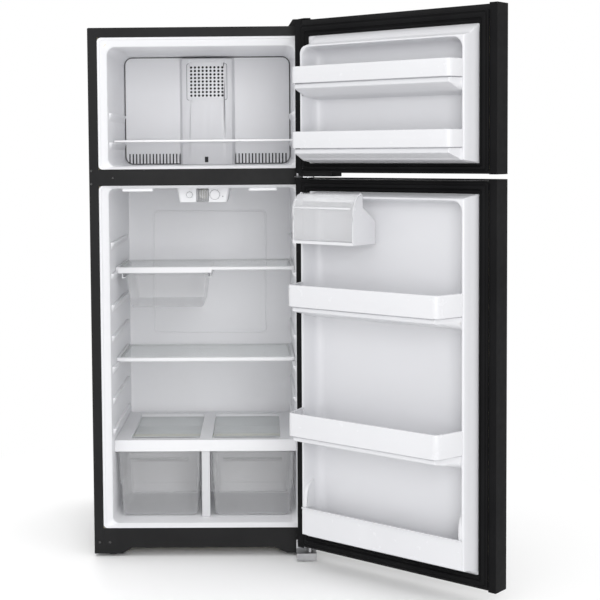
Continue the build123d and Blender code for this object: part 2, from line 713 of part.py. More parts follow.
def make_condenser_fan_blade():
    """Four-bladed fan turning about X."""
    blade = make_fan_blade(0, 0, 0, 68)
    return Pos(54, 600, DECK + 90) * Rot(0, 0, 90) * blade


# ---------------------------------------------------------------- doors, drawn closed
DIKE_BASE = 300.0
DIKE_KNEE = 292.0
DIKE_TOP = 288.0
KNEE_DEPTH = 22.0
DIKE_DEPTH = 50.0
RECESS_FLOOR = 271.0
RECESS_RIM = 280.0
SEAT = DIKE_DEPTH + 0.2
GASKET_IN = DIKE_BASE + 0.5
BAND_BACK = 285.0
BASE_HALF = 331.0
BASE_BELOW = 20.0
BASE_ABOVE = 12.0
CAP_GAP = 0.5


def door_outline(t):
    """Level outline of a door: crowned front, rounded front edges, shrunk by t."""
    x = half - t
    y0 = DOOR_SIDE_FRONT + t
    r = DOOR_EDGE_R - t
    knee = r * 0.2929
    edges = [
        Line((-x, DOOR_BACK), (-x, y0 + r)),
        ThreePointArc((-x, y0 + r), (-x + knee, y0 + knee), (-x + r, y0)),
        ThreePointArc((-x + r, y0), (0, DOOR_CROWN + t), (x - r, y0)),
        ThreePointArc((x - r, y0), (x - knee, y0 + knee), (x, y0 + r)),
        Line((x, y0 + r), (x, DOOR_BACK)),
        Line((x, DOOR_BACK), (-x, DOOR_BACK)),
    ]
    return make_face(edges)


def door_prism(t, z0, z1):
    return extrude(Pos(0, 0, z0) * door_outline(t), amount=z1 - z0)


def pin_bore(z0, z1, radius):
    return bar((HINGE_X, HINGE_Y, z0), (HINGE_X, HINGE_Y, z1), radius)


def make_door_skin(z0, z1):
    """Painted steel wrap: front, both sides and the two turned-in returns."""
    wrap = door_prism(0, z0, z1) - door_prism(SHEET, z0, z1)
    returns = joined(mirrored(block(half - SKIN_RETURN, half - 0.5, DOOR_BACK - SHEET, DOOR_BACK, z0, z1)))
    return wrap + returns


def make_door_caps(z0, z1, liner_z, low_boss=None):
    """Moulded end caps set in from the skin's ends, each with a back flange behind the seal."""
    inside = SHEET + 0.6
    back = block(-half, half, DOOR_BACK - inside, DOOR_BACK + 5, z0 - 20, z1 + 20)
    upper = door_prism(inside, z1 - CAP_INSET - CAP_T, z1 - CAP_INSET) - back
    lower = door_prism(inside, z0 + CAP_INSET, z0 + CAP_INSET + CAP_T) - back
    socket = bar((HINGE_X, HINGE_Y, 0), (HINGE_X, HINGE_Y, 30), 9)
    upper = upper + Pos(0, 0, z1 - CAP_INSET - 30) * socket
    lower = lower + Pos(0, 0, z0 + CAP_INSET) * socket
    flange_y = DOOR_BACK - inside
    low, high = liner_z[0] - BASE_BELOW - CAP_GAP, liner_z[1] + BASE_ABOVE + CAP_GAP
    upper = upper + block(-BASE_HALF, BASE_HALF, flange_y - 2, flange_y, high, z1 - CAP_INSET)
    lower = lower + block(-BASE_HALF, BASE_HALF, flange_y - 2, flange_y, z0 + CAP_INSET, low)
    if low_boss:
        lower = lower + block(219, 350, -68, -20, low_boss, z0 + CAP_INSET)
    bore = pin_bore(z0 - 30, z1 + 30, PIN_R + PIN_GAP)
    return grouped([upper - bore, lower - bore])


def door_mould(t, liner_z, steps, recess_r=22.0):
    """Everything on the foam side of the door liner, shrunk by t: base, dikes and ledges."""
    z0, z1 = liner_z
    knee_low, knee_high, top_low, top_high = steps
    far = DIKE_DEPTH + 10
    dikes = front_tub(
        (DOOR_BACK - t, -DIKE_BASE + t, DIKE_BASE - t, z0 + t, z1 - t, 8, 34),
        (KNEE_DEPTH - t, -DIKE_KNEE + t, DIKE_KNEE - t, knee_low + t, knee_high - t, 8, 34),
        (DIKE_DEPTH - t, -DIKE_TOP + t, DIKE_TOP - t, top_low + t, top_high - t, 8, 34),
    )
    base = block(-BASE_HALF, BASE_HALF, -56, DOOR_BACK - t, z0 - BASE_BELOW, z1 + BASE_ABOVE)
    recess = front_tub(
        (-20 - t, -RECESS_FLOOR - t, RECESS_FLOOR + t, top_low + 15 - t, top_high - 15 + t, recess_r + t),
        (far, -RECESS_RIM - t, RECESS_RIM + t, top_low + 7 - t, top_high - 7 + t, recess_r + t),
    )
    return base + dikes - recess


def ledge(t, z_top, front, front_half):
    """Moulded shelf ledge across the recess, thinner towards its front, shrunk by t."""
    return front_tub(
        (-22, -RECESS_RIM - 2, RECESS_RIM + 2, z_top - 44 + t, z_top - t, 6),
        (42, -RECESS_RIM - 2, RECESS_RIM + 2, z_top - 36 + t, z_top - t, 6),
        (front - t, -front_half + t, front_half - t, z_top - 14 + t, z_top - t, 5),
    )


def band_plan(front, front_half, t):
    """Level outline of a shelf front, shrunk by t, open to the back where t is more than 0."""
    back = SEAT - (1 if t else 0)
    front_y = front - t
    return [
        (-BAND_BACK + t, back), (-front_half + t, front_y),
        (front_half - t, front_y), (BAND_BACK - t, back),
    ]


def retainer(z0, z1, front, front_half):
    """U-shaped shelf front: a band with two ends that reach back to the dikes."""
    outer = band_plan(front, front_half, 0)
    band = tall_prism(z0, z1, outer) - tall_prism(z0 - 1, z1 + 1, band_plan(front, front_half, 2.5))
    lip = tall_prism(z1 - 3, z1, outer) - tall_prism(z1 - 4, z1 + 1, band_plan(front, front_half, 5.5))
    return band + lip


def make_gasket(outer_z, inner_z):
    """Black magnetic seal: a ribbed ring between the door and the cabinet's flange."""
    y0, y1 = DOOR_BACK, -0.5
    ring = block(-331, 331, y0, y1, *outer_z) - block(-GASKET_IN, GASKET_IN, y0 - 1, y1 + 1, *inner_z)
    groove = block(-322, 322, y1 - 5, y1 + 1, outer_z[0] + 8, outer_z[1] - 8)
    groove = groove - block(-316, 316, y1 - 6, y1 + 2, outer_z[0] + 13, outer_z[1] - 13)
    return ring - groove


def make_handle(z0, z1):
    """Straight bar handle near the latch edge on two feet."""
    x0, x1 = -328.0, -302.0
    y0, y1 = -124.0, -78.0
    solid = block(x0, x1, y0, y1, z0, z1)
    solid = fillet(solid.edges().filter_by(Axis.X).group_by(Axis.Y)[0], 14)
    gap = block(x0 - 1, x1 + 1, y0 + 13, y1 + 1, z0 + 38, z1 - 38)
    gap = fillet(gap.edges().filter_by(Axis.X).group_by(Axis.Y)[0], 10)
    grip = solid - gap
    grip = chamfer(grip.faces().sort_by(Axis.Y)[0].edges().filter_by(Axis.Z), 5)
    return grip - door_prism(0, z0 - 50, z1 + 50)


def opened(shape):
    """The closed door's shape turned to its open rest position."""
    return shape.rotate(Axis((HINGE_X, HINGE_Y, 0), (0, 0, 1)), DOOR_ANGLE)


FREEZER_LINER_Z = (1258.0, 1645.0)
FREEZER_STEPS = (1264.0, 1620.0, 1268.0, 1612.0)
FREEZER_BANDS = (1303.0, 1497.0)
FREEZER_BAND_H = 50.0
FREEZER_BAND_FRONT = 107.0

FRIDGE_LINER_Z = (90.0, 1171.0)
FRIDGE_STEPS = (108.0, 1166.0, 112.0, 1160.0)
FRIDGE_BANDS = ((441.0, 511.0), (832.0, 897.0))
FRIDGE_BAND_FRONT = 148.0

DAIRY_X = (55.0, 279.0)
DAIRY_BACK = SEAT
DAIRY_FLOOR = 1018.0
DAIRY_TOP = 1165.0
DAIRY_PIVOT = (58.0, 1166.0)
DAIRY_EAR_R = 5.0
DAIRY_PIN_R = 2.0


def freezer_mould(t):
    mould = door_mould(t, FREEZER_LINER_Z, FREEZER_STEPS)
    for z in FREEZER_BANDS:
        mould = mould + ledge(t, z - 1, FREEZER_BAND_FRONT - 9, 270)
    return mould


def fridge_mould(t):
    mould = door_mould(t, FRIDGE_LINER_Z, FRIDGE_STEPS)
    for z, _ in FRIDGE_BANDS:
        mould = mould + ledge(t, z - 1, FRIDGE_BAND_FRONT - 9, 250)
    return mould


def make_door_foam(z0, z1, core):
    """Insulation between the skin and the liner, clear of the caps and the pin sockets."""
    front = door_prism(SHEET, z0 + 10, z1 - 10) & block(-half, half, -90, -56, 0, CASE_TOP + 50)
    body = front + (core & block(-331, 331, -56, 200, z0 + 10, z1 - 10))
    sockets = pin_bore(z0 - 5, z0 + 36, 10) + pin_bore(z1 - 36, z1 + 5, 10)
    return body - sockets


def save_freezer_door():
    z0, z1 = FREEZER_DOOR_Z
    outer = freezer_mould(0)
    inner = freezer_mould(LINER_T)
    save("freezer_door_skin", opened(make_door_skin(z0, z1)))
    save("freezer_door_caps", opened(make_door_caps(z0, z1, FREEZER_LINER_Z, low_boss=1216.5)))
    save("freezer_door_liner", opened(outer - inner))
    save("freezer_door_foam", opened(make_door_foam(z0, z1, inner)))
    save("freezer_door_gasket", opened(make_gasket((1234, 1684), FREEZER_LINER_Z)))
    bands = [retainer(z, z + FREEZER_BAND_H, FREEZER_BAND_FRONT, 277) for z in FREEZER_BANDS]
    save("freezer_door_retainers", opened(grouped(bands)))
    save("freezer_door_handle", opened(make_handle(1245, 1545)))


def save_fridge_door():
    z0, z1 = FRIDGE_DOOR_Z
    outer = fridge_mould(0)
    inner = fridge_mould(LINER_T)
    save("fridge_door_skin", opened(make_door_skin(z0, z1)))
    save("fridge_door_caps", opened(make_door_caps(z0, z1, FRIDGE_LINER_Z)))
    save("fridge_door_liner", opened(outer - inner))
    save("fridge_door_foam", opened(make_door_foam(z0, z1, inner)))
    save("fridge_door_gasket", opened(make_gasket((56, 1205), FRIDGE_LINER_Z)))
    bands = [retainer(a, b, FRIDGE_BAND_FRONT, 262) for a, b in FRIDGE_BANDS]
    save("fridge_door_retainers", opened(grouped(bands)))
    low = block(-BAND_BACK, BAND_BACK, SEAT, SEAT + 3, 116, 200)
    low = low + block(-BAND_BACK, BAND_BACK, SEAT, SEAT + 8, 197, 200)
    save("fridge_bottom_retainer", opened(low))
    save("fridge_door_handle", opened(make_handle(745, 1195)))


def dairy_end(x, low_back):
    """End wall of the dairy bin, 3 mm, with a rounded upper front corner."""
    top = DAIRY_TOP
    points = [(-12, DAIRY_FLOOR + 1), (97, DAIRY_FLOOR + 1), (97, 1100)]
    if not low_back:
        points[0] = (DAIRY_BACK, DAIRY_FLOOR + 1)
    edges = [Line(points[0], points[1]), Line(points[1], points[2])]
    edges.append(ThreePointArc(points[2], (86, 1145), (DAIRY_BACK + 8, top)))
    edges.append(Line((DAIRY_BACK + 8, top), (DAIRY_BACK, top)))
    if low_back:
        edges.append(Line((DAIRY_BACK, top), (DAIRY_BACK, 1128)))
        edges.append(Line((DAIRY_BACK, 1128), (-12, 1086)))
        edges.append(Line((-12, 1086), points[0]))
    else:
        edges.append(Line((DAIRY_BACK, top), points[0]))
    plane = Plane(origin=(x, 0, 0), x_dir=(0, 1, 0), z_dir=(1, 0, 0))
    return extrude(plane * make_face(edges), amount=3)


def dairy_round(x0, x1, radius):
    """A round bar on the flap's pivot line."""
    y, z = DAIRY_PIVOT
    return bar((x0, y, z), (x1, y, z), radius)


def make_dairy_housing():
    """White dairy bin: floor, two curved end walls and the strip the flap hangs from."""
    x0, x1 = DAIRY_X
    recess_floor = block(x0, 268, -16, DAIRY_BACK + 1, DAIRY_FLOOR, DAIRY_FLOOR + 3)
    floor = block(x0, x1, DAIRY_BACK, 98, DAIRY_FLOOR, DAIRY_FLOOR + 3)
    lip = block(x0, x1, 95, 98, DAIRY_FLOOR, DAIRY_FLOOR + 9)
    strip = block(x0, x1, DAIRY_BACK, DAIRY_BACK + 3, DAIRY_TOP - 22, DAIRY_TOP)
    ears = [dairy_round(x, x + 3, DAIRY_EAR_R) for x in (x0, x1 - 3)]
    bores = [dairy_round(x - 1, x + 4, DAIRY_PIN_R + PIN_GAP) for x in (x0, x1 - 3)]
    ends = [dairy_end(x0, True), dairy_end(x1 - 3, False)]
    return joined([recess_floor, floor, lip, strip] + ends + ears) - joined(bores)


def make_dairy_cover():
    """Clear curved flap, pivoted at its upper back edge, with a level pull rib."""
    x0, x1 = DAIRY_X[0] + 1, DAIRY_X[1] - 1
    y, z = DAIRY_PIVOT
    low = DAIRY_FLOOR + 11
    edges = [
        Line((y, z + 3), (y, z)),
        ThreePointArc((y, z), (88.5, 1148), (98.5, 1100)),
        Line((98.5, 1100), (98.5, low)),
        Line((98.5, low), (101, low)),
        Line((101, low), (101, 1100)),
        ThreePointArc((101, 1100), (90.5, 1150.5), (y, z + 3)),
    ]
    plane = Plane(origin=(x0, 0, 0), x_dir=(0, 1, 0), z_dir=(1, 0, 0))
    flap = extrude(plane * make_face(edges), amount=x1 - x0)
    rib = block(x0 + 6, x1 - 6, 95.6, 105, 1124, 1128)
    clear = DAIRY_EAR_R + 1
    notches = [dairy_round(x0 - 2, x0 + 2.6, clear), dairy_round(x1 - 2.6, x1 + 2, clear)]
    pins = [dairy_round(x0 - 0.6, x0 + 12, DAIRY_PIN_R), dairy_round(x1 - 12, x1 + 0.6, DAIRY_PIN_R)]
    return joined([(flap + rib) - joined(notches)] + pins)


# ---------------------------------------------------------------- write the pieces
os.makedirs("parts", exist_ok=True)

save("cabinet_shell", make_cabinet_shell())
save("rear_panel", block(-half + 2, half - 2, CASE_D - SHEET, CASE_D, MACHINE_TOP + 2, CASE_TOP - 2))
save("base_frame", make_base_frame())
save("toe_grille", make_toe_grille())
save("mullion_rail", make_mullion_rail())
save("cabinet_foam", make_cabinet_foam())
save("freezer_liner", make_freezer_liner())
save("fresh_food_liner", make_fresh_food_liner())
save("compressor_cover", make_machine_cover())
save("cord_gland", make_cord_gland())
save("evaporator_cover", make_evaporator_cover())
save("evaporator_coil", make_evaporator_coil())
save("evaporator_fan_motor", make_fan_motor(520, 556, 0, FAN_Z, LINER_BACK))
save("evaporator_fan_blade", make_fan_blade(500, 0, FAN_Z, 50))
save("freezer_shelf", make_freezer_shelf())
save("control_housing", make_control_housing())
save("light_lens", make_light_lens())
save("light_bulb", make_light_bulb())
save("light_switch", make_light_switch())
save("freezer_dial", make_dial(DIAL_X, 9, 106))
save("temperature_knob", make_dial(KNOB_X, 15, 104))
save("upper_shelf_frame", joined([make_shelf_frame(UPPER_SHELF_TOP, 21, 12, 22)] + make_pan_rails()))
save("lower_shelf_frame", make_shelf_frame(LOWER_SHELF_TOP, 14, 14, 0))
shelf_panes = [make_shelf_pane(UPPER_SHELF_TOP), make_shelf_pane(LOWER_SHELF_TOP)]
save("glass_panes", grouped(shelf_panes + make_crisper_cover_panes()))
save("meat_pan", make_meat_pan())
save("crisper_cover_frame", make_crisper_cover_frame())
save("crisper_support", make_crisper_support())
save("crisper_left", make_crisper(-1))
save("crisper_right", make_crisper(1))
save("top_hinge", make_top_hinge())
save("top_hinge_cover", make_top_hinge_cover())
save("middle_hinge", make_middle_hinge())
save("bottom_hinge", make_bottom_hinge())
save("hinge_screws", make_hinge_screws())
save("leveling_leg_left", make_leg(-LEG_X))
save("leveling_leg_right", make_leg(LEG_X))
save("rear_roller_left", make_roller(-ROLLER_X))
save("rear_roller_right", make_roller(ROLLER_X))
save("compressor", make_compressor())
save("condenser_coil", make_condenser_coil())
save("condenser_fan_motor", make_condenser_fan_motor())
save("condenser_fan_blade", make_condenser_fan_blade())
save("drain_pan", make_drain_pan())
save_freezer_door()
save_fridge_door()
save("dairy_housing", opened(make_dairy_housing()))
save("dairy_cover", opened(make_dairy_cover()))
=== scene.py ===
import json
import math

import bmesh
import bpy
from mathutils import Matrix, Vector


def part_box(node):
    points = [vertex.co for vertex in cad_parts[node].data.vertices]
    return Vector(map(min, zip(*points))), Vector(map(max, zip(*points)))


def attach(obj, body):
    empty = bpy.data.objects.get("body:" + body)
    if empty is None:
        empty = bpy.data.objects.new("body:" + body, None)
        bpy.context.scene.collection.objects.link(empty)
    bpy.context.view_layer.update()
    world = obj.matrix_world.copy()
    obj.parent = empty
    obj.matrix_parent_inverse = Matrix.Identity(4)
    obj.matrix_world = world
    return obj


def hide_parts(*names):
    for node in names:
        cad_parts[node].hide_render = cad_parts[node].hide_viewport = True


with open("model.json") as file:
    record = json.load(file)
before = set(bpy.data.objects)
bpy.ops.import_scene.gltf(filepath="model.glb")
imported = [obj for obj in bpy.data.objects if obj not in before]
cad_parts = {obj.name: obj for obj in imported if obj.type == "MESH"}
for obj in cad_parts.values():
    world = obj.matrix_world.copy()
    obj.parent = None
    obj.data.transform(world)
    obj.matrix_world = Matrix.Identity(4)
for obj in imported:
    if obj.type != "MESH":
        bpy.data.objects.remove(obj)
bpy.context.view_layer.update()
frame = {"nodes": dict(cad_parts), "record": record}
NODES = frame["nodes"]

# Shapes are given in millimetres in the part's frame, and made in metres.
# Door shapes are given with the door closed, and then turned to the open rest position.
MM = 0.001
# Points nearer than this, in metres, are joined: in the pieces made here, and in CAD nodes.
SAME_SPOT = 2e-6
SAME_CAD_SPOT = 1e-6
# Out of the cabinet, towards someone who stands before it.
FORWARD = (0, -1, 0)


# ---------------------------------------------------------------- the frame's own values
def joint_named(name):
    """A joint's entry in the record."""
    return next(j for j in frame["record"]["behaviour"]["joints"] if j["name"] == name)


SWING = joint_named("fridge_door_swing")
HINGE = Vector((SWING["pos_m"][0], SWING["pos_m"][1], 0))
OPEN_ANGLE = math.radians(-SWING["range_deg"][0])
SWUNG = Matrix.Rotation(OPEN_ANGLE, 4, "Z")
OPENED = Matrix.Translation(HINGE) @ SWUNG @ Matrix.Translation(-HINGE)
CLOSED = OPENED.inverted()


def node_box(node):
    """A cabinet node's lowest and highest corners in millimetres."""
    low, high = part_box(node)
    return [v / MM for v in low], [v / MM for v in high]


def door_box(node):
    """A door node's lowest and highest corners in millimetres, with the door closed."""
    spots = [CLOSED @ v.co for v in NODES[node].data.vertices]
    low = [min(p[i] for p in spots) / MM for i in range(3)]
    high = [max(p[i] for p in spots) / MM for i in range(3)]
    return low, high


# ---------------------------------------------------------------- outlines
def mix(a, b, t):
    """The point a share t of the way from a to b."""
    return tuple(p + (q - p) * t for p, q in zip(a, b))


def softened(points, cut, steps=5):
    """The same run of points with each inner corner turned into a short curve."""
    run = [points[0]]
    for before, corner, after in zip(points, points[1:], points[2:]):
        back = math.dist(before[:2], corner[:2])
        on = math.dist(corner[:2], after[:2])
        start = mix(corner, before, min(cut / back, 0.5) if back else 0)
        end = mix(corner, after, min(cut / on, 0.5) if on else 0)
        for i in range(steps + 1):
            t = i / steps
            run.append(mix(mix(start, corner, t), mix(corner, end, t), t))
    run.append(points[-1])
    return run


def read_off(run, x):
    """The second value of a run of points where its first value is x."""
    if x <= run[0][0]:
        return run[0][1]
    for a, b in zip(run, run[1:]):
        if x <= b[0]:
            span = b[0] - a[0]
            return b[1] if span < 1e-9 else a[1] + (b[1] - a[1]) * (x - a[0]) / span
    return run[-1][1]


def rounded_outline(a0, a1, b0, b1, radii, steps=6):
    """A rectangle's outline with its own radius at each corner, from the lower left round."""
    outline = []
    corners = ((a0, b0, 180), (a1, b0, 270), (a1, b1, 0), (a0, b1, 90))
    for (a, b, start), r in zip(corners, radii):
        centre_a = a + (r if a == a0 else -r)
        centre_b = b + (r if b == b0 else -r)
        for i in range(steps + 1):
            angle = math.radians(start + 90 * i / steps)
            outline.append((centre_a + r * math.cos(angle), centre_b + r * math.sin(angle)))
    return outline


def upright(y, x0, x1, z0, z1, radii, steps=6):
    """A rounded rectangle that faces the front."""
    return [(a, y, b) for a, b in rounded_outline(x0, x1, z0, z1, radii, steps)]


def level(z, x0, x1, y0, y1, r, steps=6):
    """A level rounded rectangle."""
    return [(a, b, z) for a, b in rounded_outline(x0, x1, y0, y1, (r,) * 4, steps)]


# ---------------------------------------------------------------- shapes
class Shape:
    """Collects points and faces in millimetres and makes one piece of them."""

    def __init__(self, on_door=False):
        self.points = []
        self.faces = []
        self.on_door = on_door

    def loft(self, rings, closed=True, caps=(True, True)):
        """Skins a row of equally long rings with quads."""
        count = len(rings[0])
        starts = []
        for ring in rings:
            starts.append(len(self.points))
            self.points += ring
        for a, b in zip(starts, starts[1:]):
            for i in range(count if closed else count - 1):
                k = (i + 1) % count
                self.faces.append((a + i, a + k, b + k, b + i))
        for wanted, first in zip(caps, (starts[0], starts[-1])):
            if wanted:
                self.faces.append(tuple(range(first, first + count)))

    def slab(self, low, high, r=1.0, corner=None):
        """A box with every edge rounded, and its upright edges by corner."""
        corner = max(corner or r, r)
        rings = []
        turns = [math.radians(22.5 * i) for i in range(5)]
        ends = [(low[2] + r * (1 - math.sin(a)), r * (1 - math.cos(a))) for a in reversed(turns)]
        ends += [(high[2] - r * (1 - math.sin(a)), r * (1 - math.cos(a))) for a in turns]
        for z, inset in ends:
            rings.append(level(z, low[0] + inset, high[0] - inset, low[1] + inset, high[1] - inset,
                               max(corner - inset, 0.05), 4))
        self.loft(rings)

    def turned(self, centre, along, profile, sides=28):
        """A turned piece: (radius, distance along) points spun about a line."""
        line = Vector(along).normalized()
        side = line.orthogonal().normalized()
        up = line.cross(side)
        rings = []
        for radius, reach in profile:
            middle = Vector(centre) + line * reach
            ring = []
            for i in range(sides):
                angle = 2 * math.pi * i / sides
                outward = side * math.cos(angle) + up * math.sin(angle)
                ring.append(tuple(middle + outward * radius))
            rings.append(ring)
        self.loft(rings)

    def wire(self, points, radius, sides=8):
        """A round wire along a run of points."""
        rings = []
        for i, point in enumerate(points):
            before = Vector(points[max(i - 1, 0)])
            after = Vector(points[min(i + 1, len(points) - 1)])
            line = (after - before).normalized()
            side = line.cross(Vector((0, 0, 1)))
            side = side.normalized() if side.length > 0.01 else Vector((1, 0, 0))
            up = side.cross(line)
            rings.append([
                tuple(Vector(point) + (side * math.cos(a) + up * math.sin(a)) * radius)
                for a in (2 * math.pi * k / sides for k in range(sides))
            ])
        self.loft(rings)

    def along(self, path, profile):
        """A closed (inward, height) profile carried along a level (x, y) path."""
        rings = []
        for i, point in enumerate(path):
            before = Vector(path[max(i - 1, 0)])
            after = Vector(path[min(i + 1, len(path) - 1)])
            line = (after - before).normalized()
            inward = Vector((line.y, -line.x))
            x, y = point
            rings.append([(x + inward.x * n, y + inward.y * n, z) for n, z in profile])
        self.loft(rings)

    def across(self, x0, x1, profile, closed=True, soft=0.0):
        """A (y, z) profile carried across from x0 to x1, shrinking by soft at its ends."""
        mid_y, mid_z = (sum(p[i] for p in profile) / len(profile) for i in (0, 1))
        stations = [(x0, 0), (x1, 0)]
        if soft:
            stations = [(x0, soft), (x0 + soft * 0.3, soft * 0.3), (x0 + soft, 0)]
            stations += [(x1 - soft, 0), (x1 - soft * 0.3, soft * 0.3), (x1, soft)]
        rings = []
        for x, inset in stations:
            ring = []
            for y, z in profile:
                reach = math.hypot(y - mid_y, z - mid_z)
                share = 1 - inset / reach if reach > inset else 0.2
                ring.append((x, mid_y + (y - mid_y) * share, mid_z + (z - mid_z) * share))
            rings.append(ring)
        self.loft(rings, closed, (closed, closed))

    def make(self, name, body, slot, material, replaces=(), sharp=38, thick=0.0):
        """The finished piece, riding on its body."""
        mesh = bpy.data.meshes.new(name)
        spots = [Vector(p) * MM for p in self.points]
        if self.on_door:
            spots = [OPENED @ p for p in spots]
        mesh.from_pydata(spots, [], self.faces)
        work = bmesh.new()
        work.from_mesh(mesh)
        bmesh.ops.remove_doubles(work, verts=work.verts, dist=SAME_SPOT)
        bmesh.ops.recalc_face_normals(work, faces=work.faces)
        work.to_mesh(mesh)
        work.free()
        mesh.shade_smooth()
        mesh.set_sharp_from_angle(angle=math.radians(sharp))
        piece = bpy.data.objects.new(name, mesh)
        bpy.context.scene.collection.objects.link(piece)
        mesh.materials.append(material)
        if thick:
            wall = piece.modifiers.new("wall", "SOLIDIFY")
            wall.thickness = thick * MM
            wall.offset = -1
        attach(piece, body)
        if replaces:
            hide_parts(*replaces)
        return piece


# ---------------------------------------------------------------- materials
# Depth of the fine surface grain, in metres.
GRAIN_DEPTH = 0.0004
# Part of a noise texture's range in which most of it lies.
NOISE_MIDDLE = (0.3, 0.7)


def new_material(name):
    """A material with its node tree and its shader."""
    material = bpy.data.materials.new(name)
    material.use_nodes = True
    tree = material.node_tree
    return material, tree, tree.nodes["Principled BSDF"]


def noise(tree, scale, detail, stretch=None):
    """A noise texture in the part's own metres, drawn out along an axis if asked."""
    place = tree.nodes.new("ShaderNodeTexCoord")
    source = place.outputs["Object"]
    if stretch:
        mapping = tree.nodes.new("ShaderNodeMapping")
        mapping.inputs["Scale"].default_value = stretch
        tree.links.new(source, mapping.inputs["Vector"])
        source = mapping.outputs["Vector"]
    texture = tree.nodes.new("ShaderNodeTexNoise")
    texture.inputs["Scale"].default_value = scale
    texture.inputs["Detail"].default_value = detail
    tree.links.new(source, texture.inputs["Vector"])
    return texture.outputs["Fac"]


def spread(tree, source, low, high, ends=NOISE_MIDDLE):
    """The source's middle range spread from low to high."""
    node = tree.nodes.new("ShaderNodeMapRange")
    node.inputs["From Min"].default_value = ends[0]
    node.inputs["From Max"].default_value = ends[1]
    node.inputs["To Min"].default_value = low
    node.inputs["To Max"].default_value = high
    tree.links.new(source, node.inputs["Value"])
    return node.outputs["Result"]


def tinted(tree, source, dark, light):
    """A colour that varies between two."""
    ramp = tree.nodes.new("ShaderNodeValToRGB")
    for stop, place, colour in zip(ramp.color_ramp.elements, NOISE_MIDDLE, (dark, light)):
        stop.position = place
        stop.color = (*colour, 1)
    tree.links.new(source, ramp.inputs["Fac"])
    return ramp.outputs["Color"]


def bumped(tree, shader, source, strength):
    """Gives the shader one fine bump from the source."""
    bump = tree.nodes.new("ShaderNodeBump")
    bump.inputs["Strength"].default_value = strength
    bump.inputs["Distance"].default_value = GRAIN_DEPTH
    tree.links.new(source, bump.inputs["Height"])
    tree.links.new(bump.outputs["Normal"], shader.inputs["Normal"])


def moulded(name, dark, light, rough, grain, relief, coat=0.0, metal=0.0, sheet=6.0,
            stretch=None, shine=0.5):
    """Moulded plastic, paint or rubber: slow colour change, uneven gloss and a fine grain."""
    material, tree, shader = new_material(name)
    tree.links.new(tinted(tree, noise(tree, sheet, 3), dark, light), shader.inputs["Base Color"])
    tree.links.new(spread(tree, noise(tree, 45, 4, stretch), *rough), shader.inputs["Roughness"])
    bumped(tree, shader, noise(tree, grain, 3, stretch), relief)
    shader.inputs["Specular IOR Level"].default_value = shine
    shader.inputs["Metallic"].default_value = metal
    shader.inputs["Coat Weight"].default_value = coat
    shader.inputs["Coat Roughness"].default_value = 0.18
    return material


def clear(name, dark, light, face_on, edge_on, rough, grain=260.0, relief=0.05):
    """Clear moulded plastic or glass that shows most along its edges."""
    material, tree, shader = new_material(name)
    tree.links.new(tinted(tree, noise(tree, 12, 2), dark, light), shader.inputs["Base Color"])
    tree.links.new(spread(tree, noise(tree, 30, 3), *rough), shader.inputs["Roughness"])
    rim = tree.nodes.new("ShaderNodeLayerWeight")
    rim.inputs["Blend"].default_value = 0.32
    alpha = spread(tree, rim.outputs["Facing"], face_on, edge_on, (0.0, 1.0))
    tree.links.new(alpha, shader.inputs["Alpha"])
    bumped(tree, shader, noise(tree, grain, 2), relief)
    shader.inputs["IOR"].default_value = 1.52
    shader.inputs["Specular IOR Level"].default_value = 0.7
    return material


BLACK_PAINT = moulded("black_textured_paint", (0.01, 0.01, 0.0105), (0.014, 0.014, 0.0145),
                      (0.45, 0.55), grain=1100, relief=0.2, shine=0.14)
DOOR_BLACK = moulded("black_door_paint", (0.006, 0.006, 0.0065), (0.009, 0.009, 0.0095), (0.5, 0.6),
                     grain=1100, relief=0.2, shine=0.06)
BLACK_PLASTIC = moulded("black_moulded_plastic", (0.008, 0.008, 0.0085),
                        (0.011, 0.011, 0.0115), (0.45, 0.58),
                        grain=1500, relief=0.15, shine=0.1)
LINER_WHITE = moulded("white_liner_sheet", (0.79, 0.792, 0.812), (0.81, 0.812, 0.832), (0.34, 0.42),
                      grain=650, relief=0.015, sheet=3)
# Painted shade: the door liner's white is a darker copy of the cabinet liner's, so that the open
# doors, which take more of the lamps' light, come out no brighter than the inside.
DOOR_WHITE_SHADED = moulded("white_door_sheet_shaded", (0.64, 0.643, 0.665), (0.655, 0.658, 0.68), (0.28, 0.36),
                     grain=650, relief=0.015, shine=0.35, sheet=3)
# Painted shade: the same darker white for the shelf fronts, dairy bin and other white parts on the
# doors.
BAND_WHITE_SHADED = moulded("white_shelf_front_shaded", (0.64, 0.643, 0.663), (0.655, 0.658, 0.678), (0.2, 0.28),
                     grain=1200, relief=0.02, shine=0.4)
TRIM_WHITE = moulded("white_trim_plastic", (0.74, 0.743, 0.76), (0.748, 0.751, 0.768), (0.36, 0.4),
                     grain=1200, relief=0.008)
SUPPORT_WHITE = moulded("shaded_support_plastic", (0.56, 0.563, 0.58), (0.58, 0.583, 0.6),
                        (0.35, 0.42), grain=1200, relief=0.01)
COATED_WIRE = moulded("white_coated_wire", (0.88, 0.88, 0.89), (0.91, 0.91, 0.92), (0.25, 0.4),
                      grain=900, relief=0.05)
ZINC = moulded("zinc_plated_steel", (0.34, 0.34, 0.35), (0.46, 0.46, 0.47), (0.3, 0.45),
               grain=500, relief=0.12, metal=1.0, sheet=30, stretch=(1, 1, 14))
BACK_STEEL = moulded("galvanised_back_steel", (0.36, 0.37, 0.38), (0.5, 0.51, 0.52), (0.35, 0.55),
                     grain=90, relief=0.1, metal=0.7, sheet=45)
ALUMINIUM = moulded("bare_aluminium", (0.72, 0.73, 0.74), (0.8, 0.81, 0.82), (0.25, 0.42),
                    grain=700, relief=0.15, metal=1.0, sheet=25, stretch=(10, 1, 1))
BLACK_ENAMEL = moulded("black_enamel", (0.012, 0.012, 0.012), (0.02, 0.02, 0.02), (0.16, 0.3),
                       grain=220, relief=0.15, coat=0.4)
RUBBER = moulded("black_gasket_vinyl", (0.007, 0.007, 0.0075), (0.01, 0.01, 0.0105), (0.5, 0.6),
                 grain=1400, relief=0.08, shine=0.03)
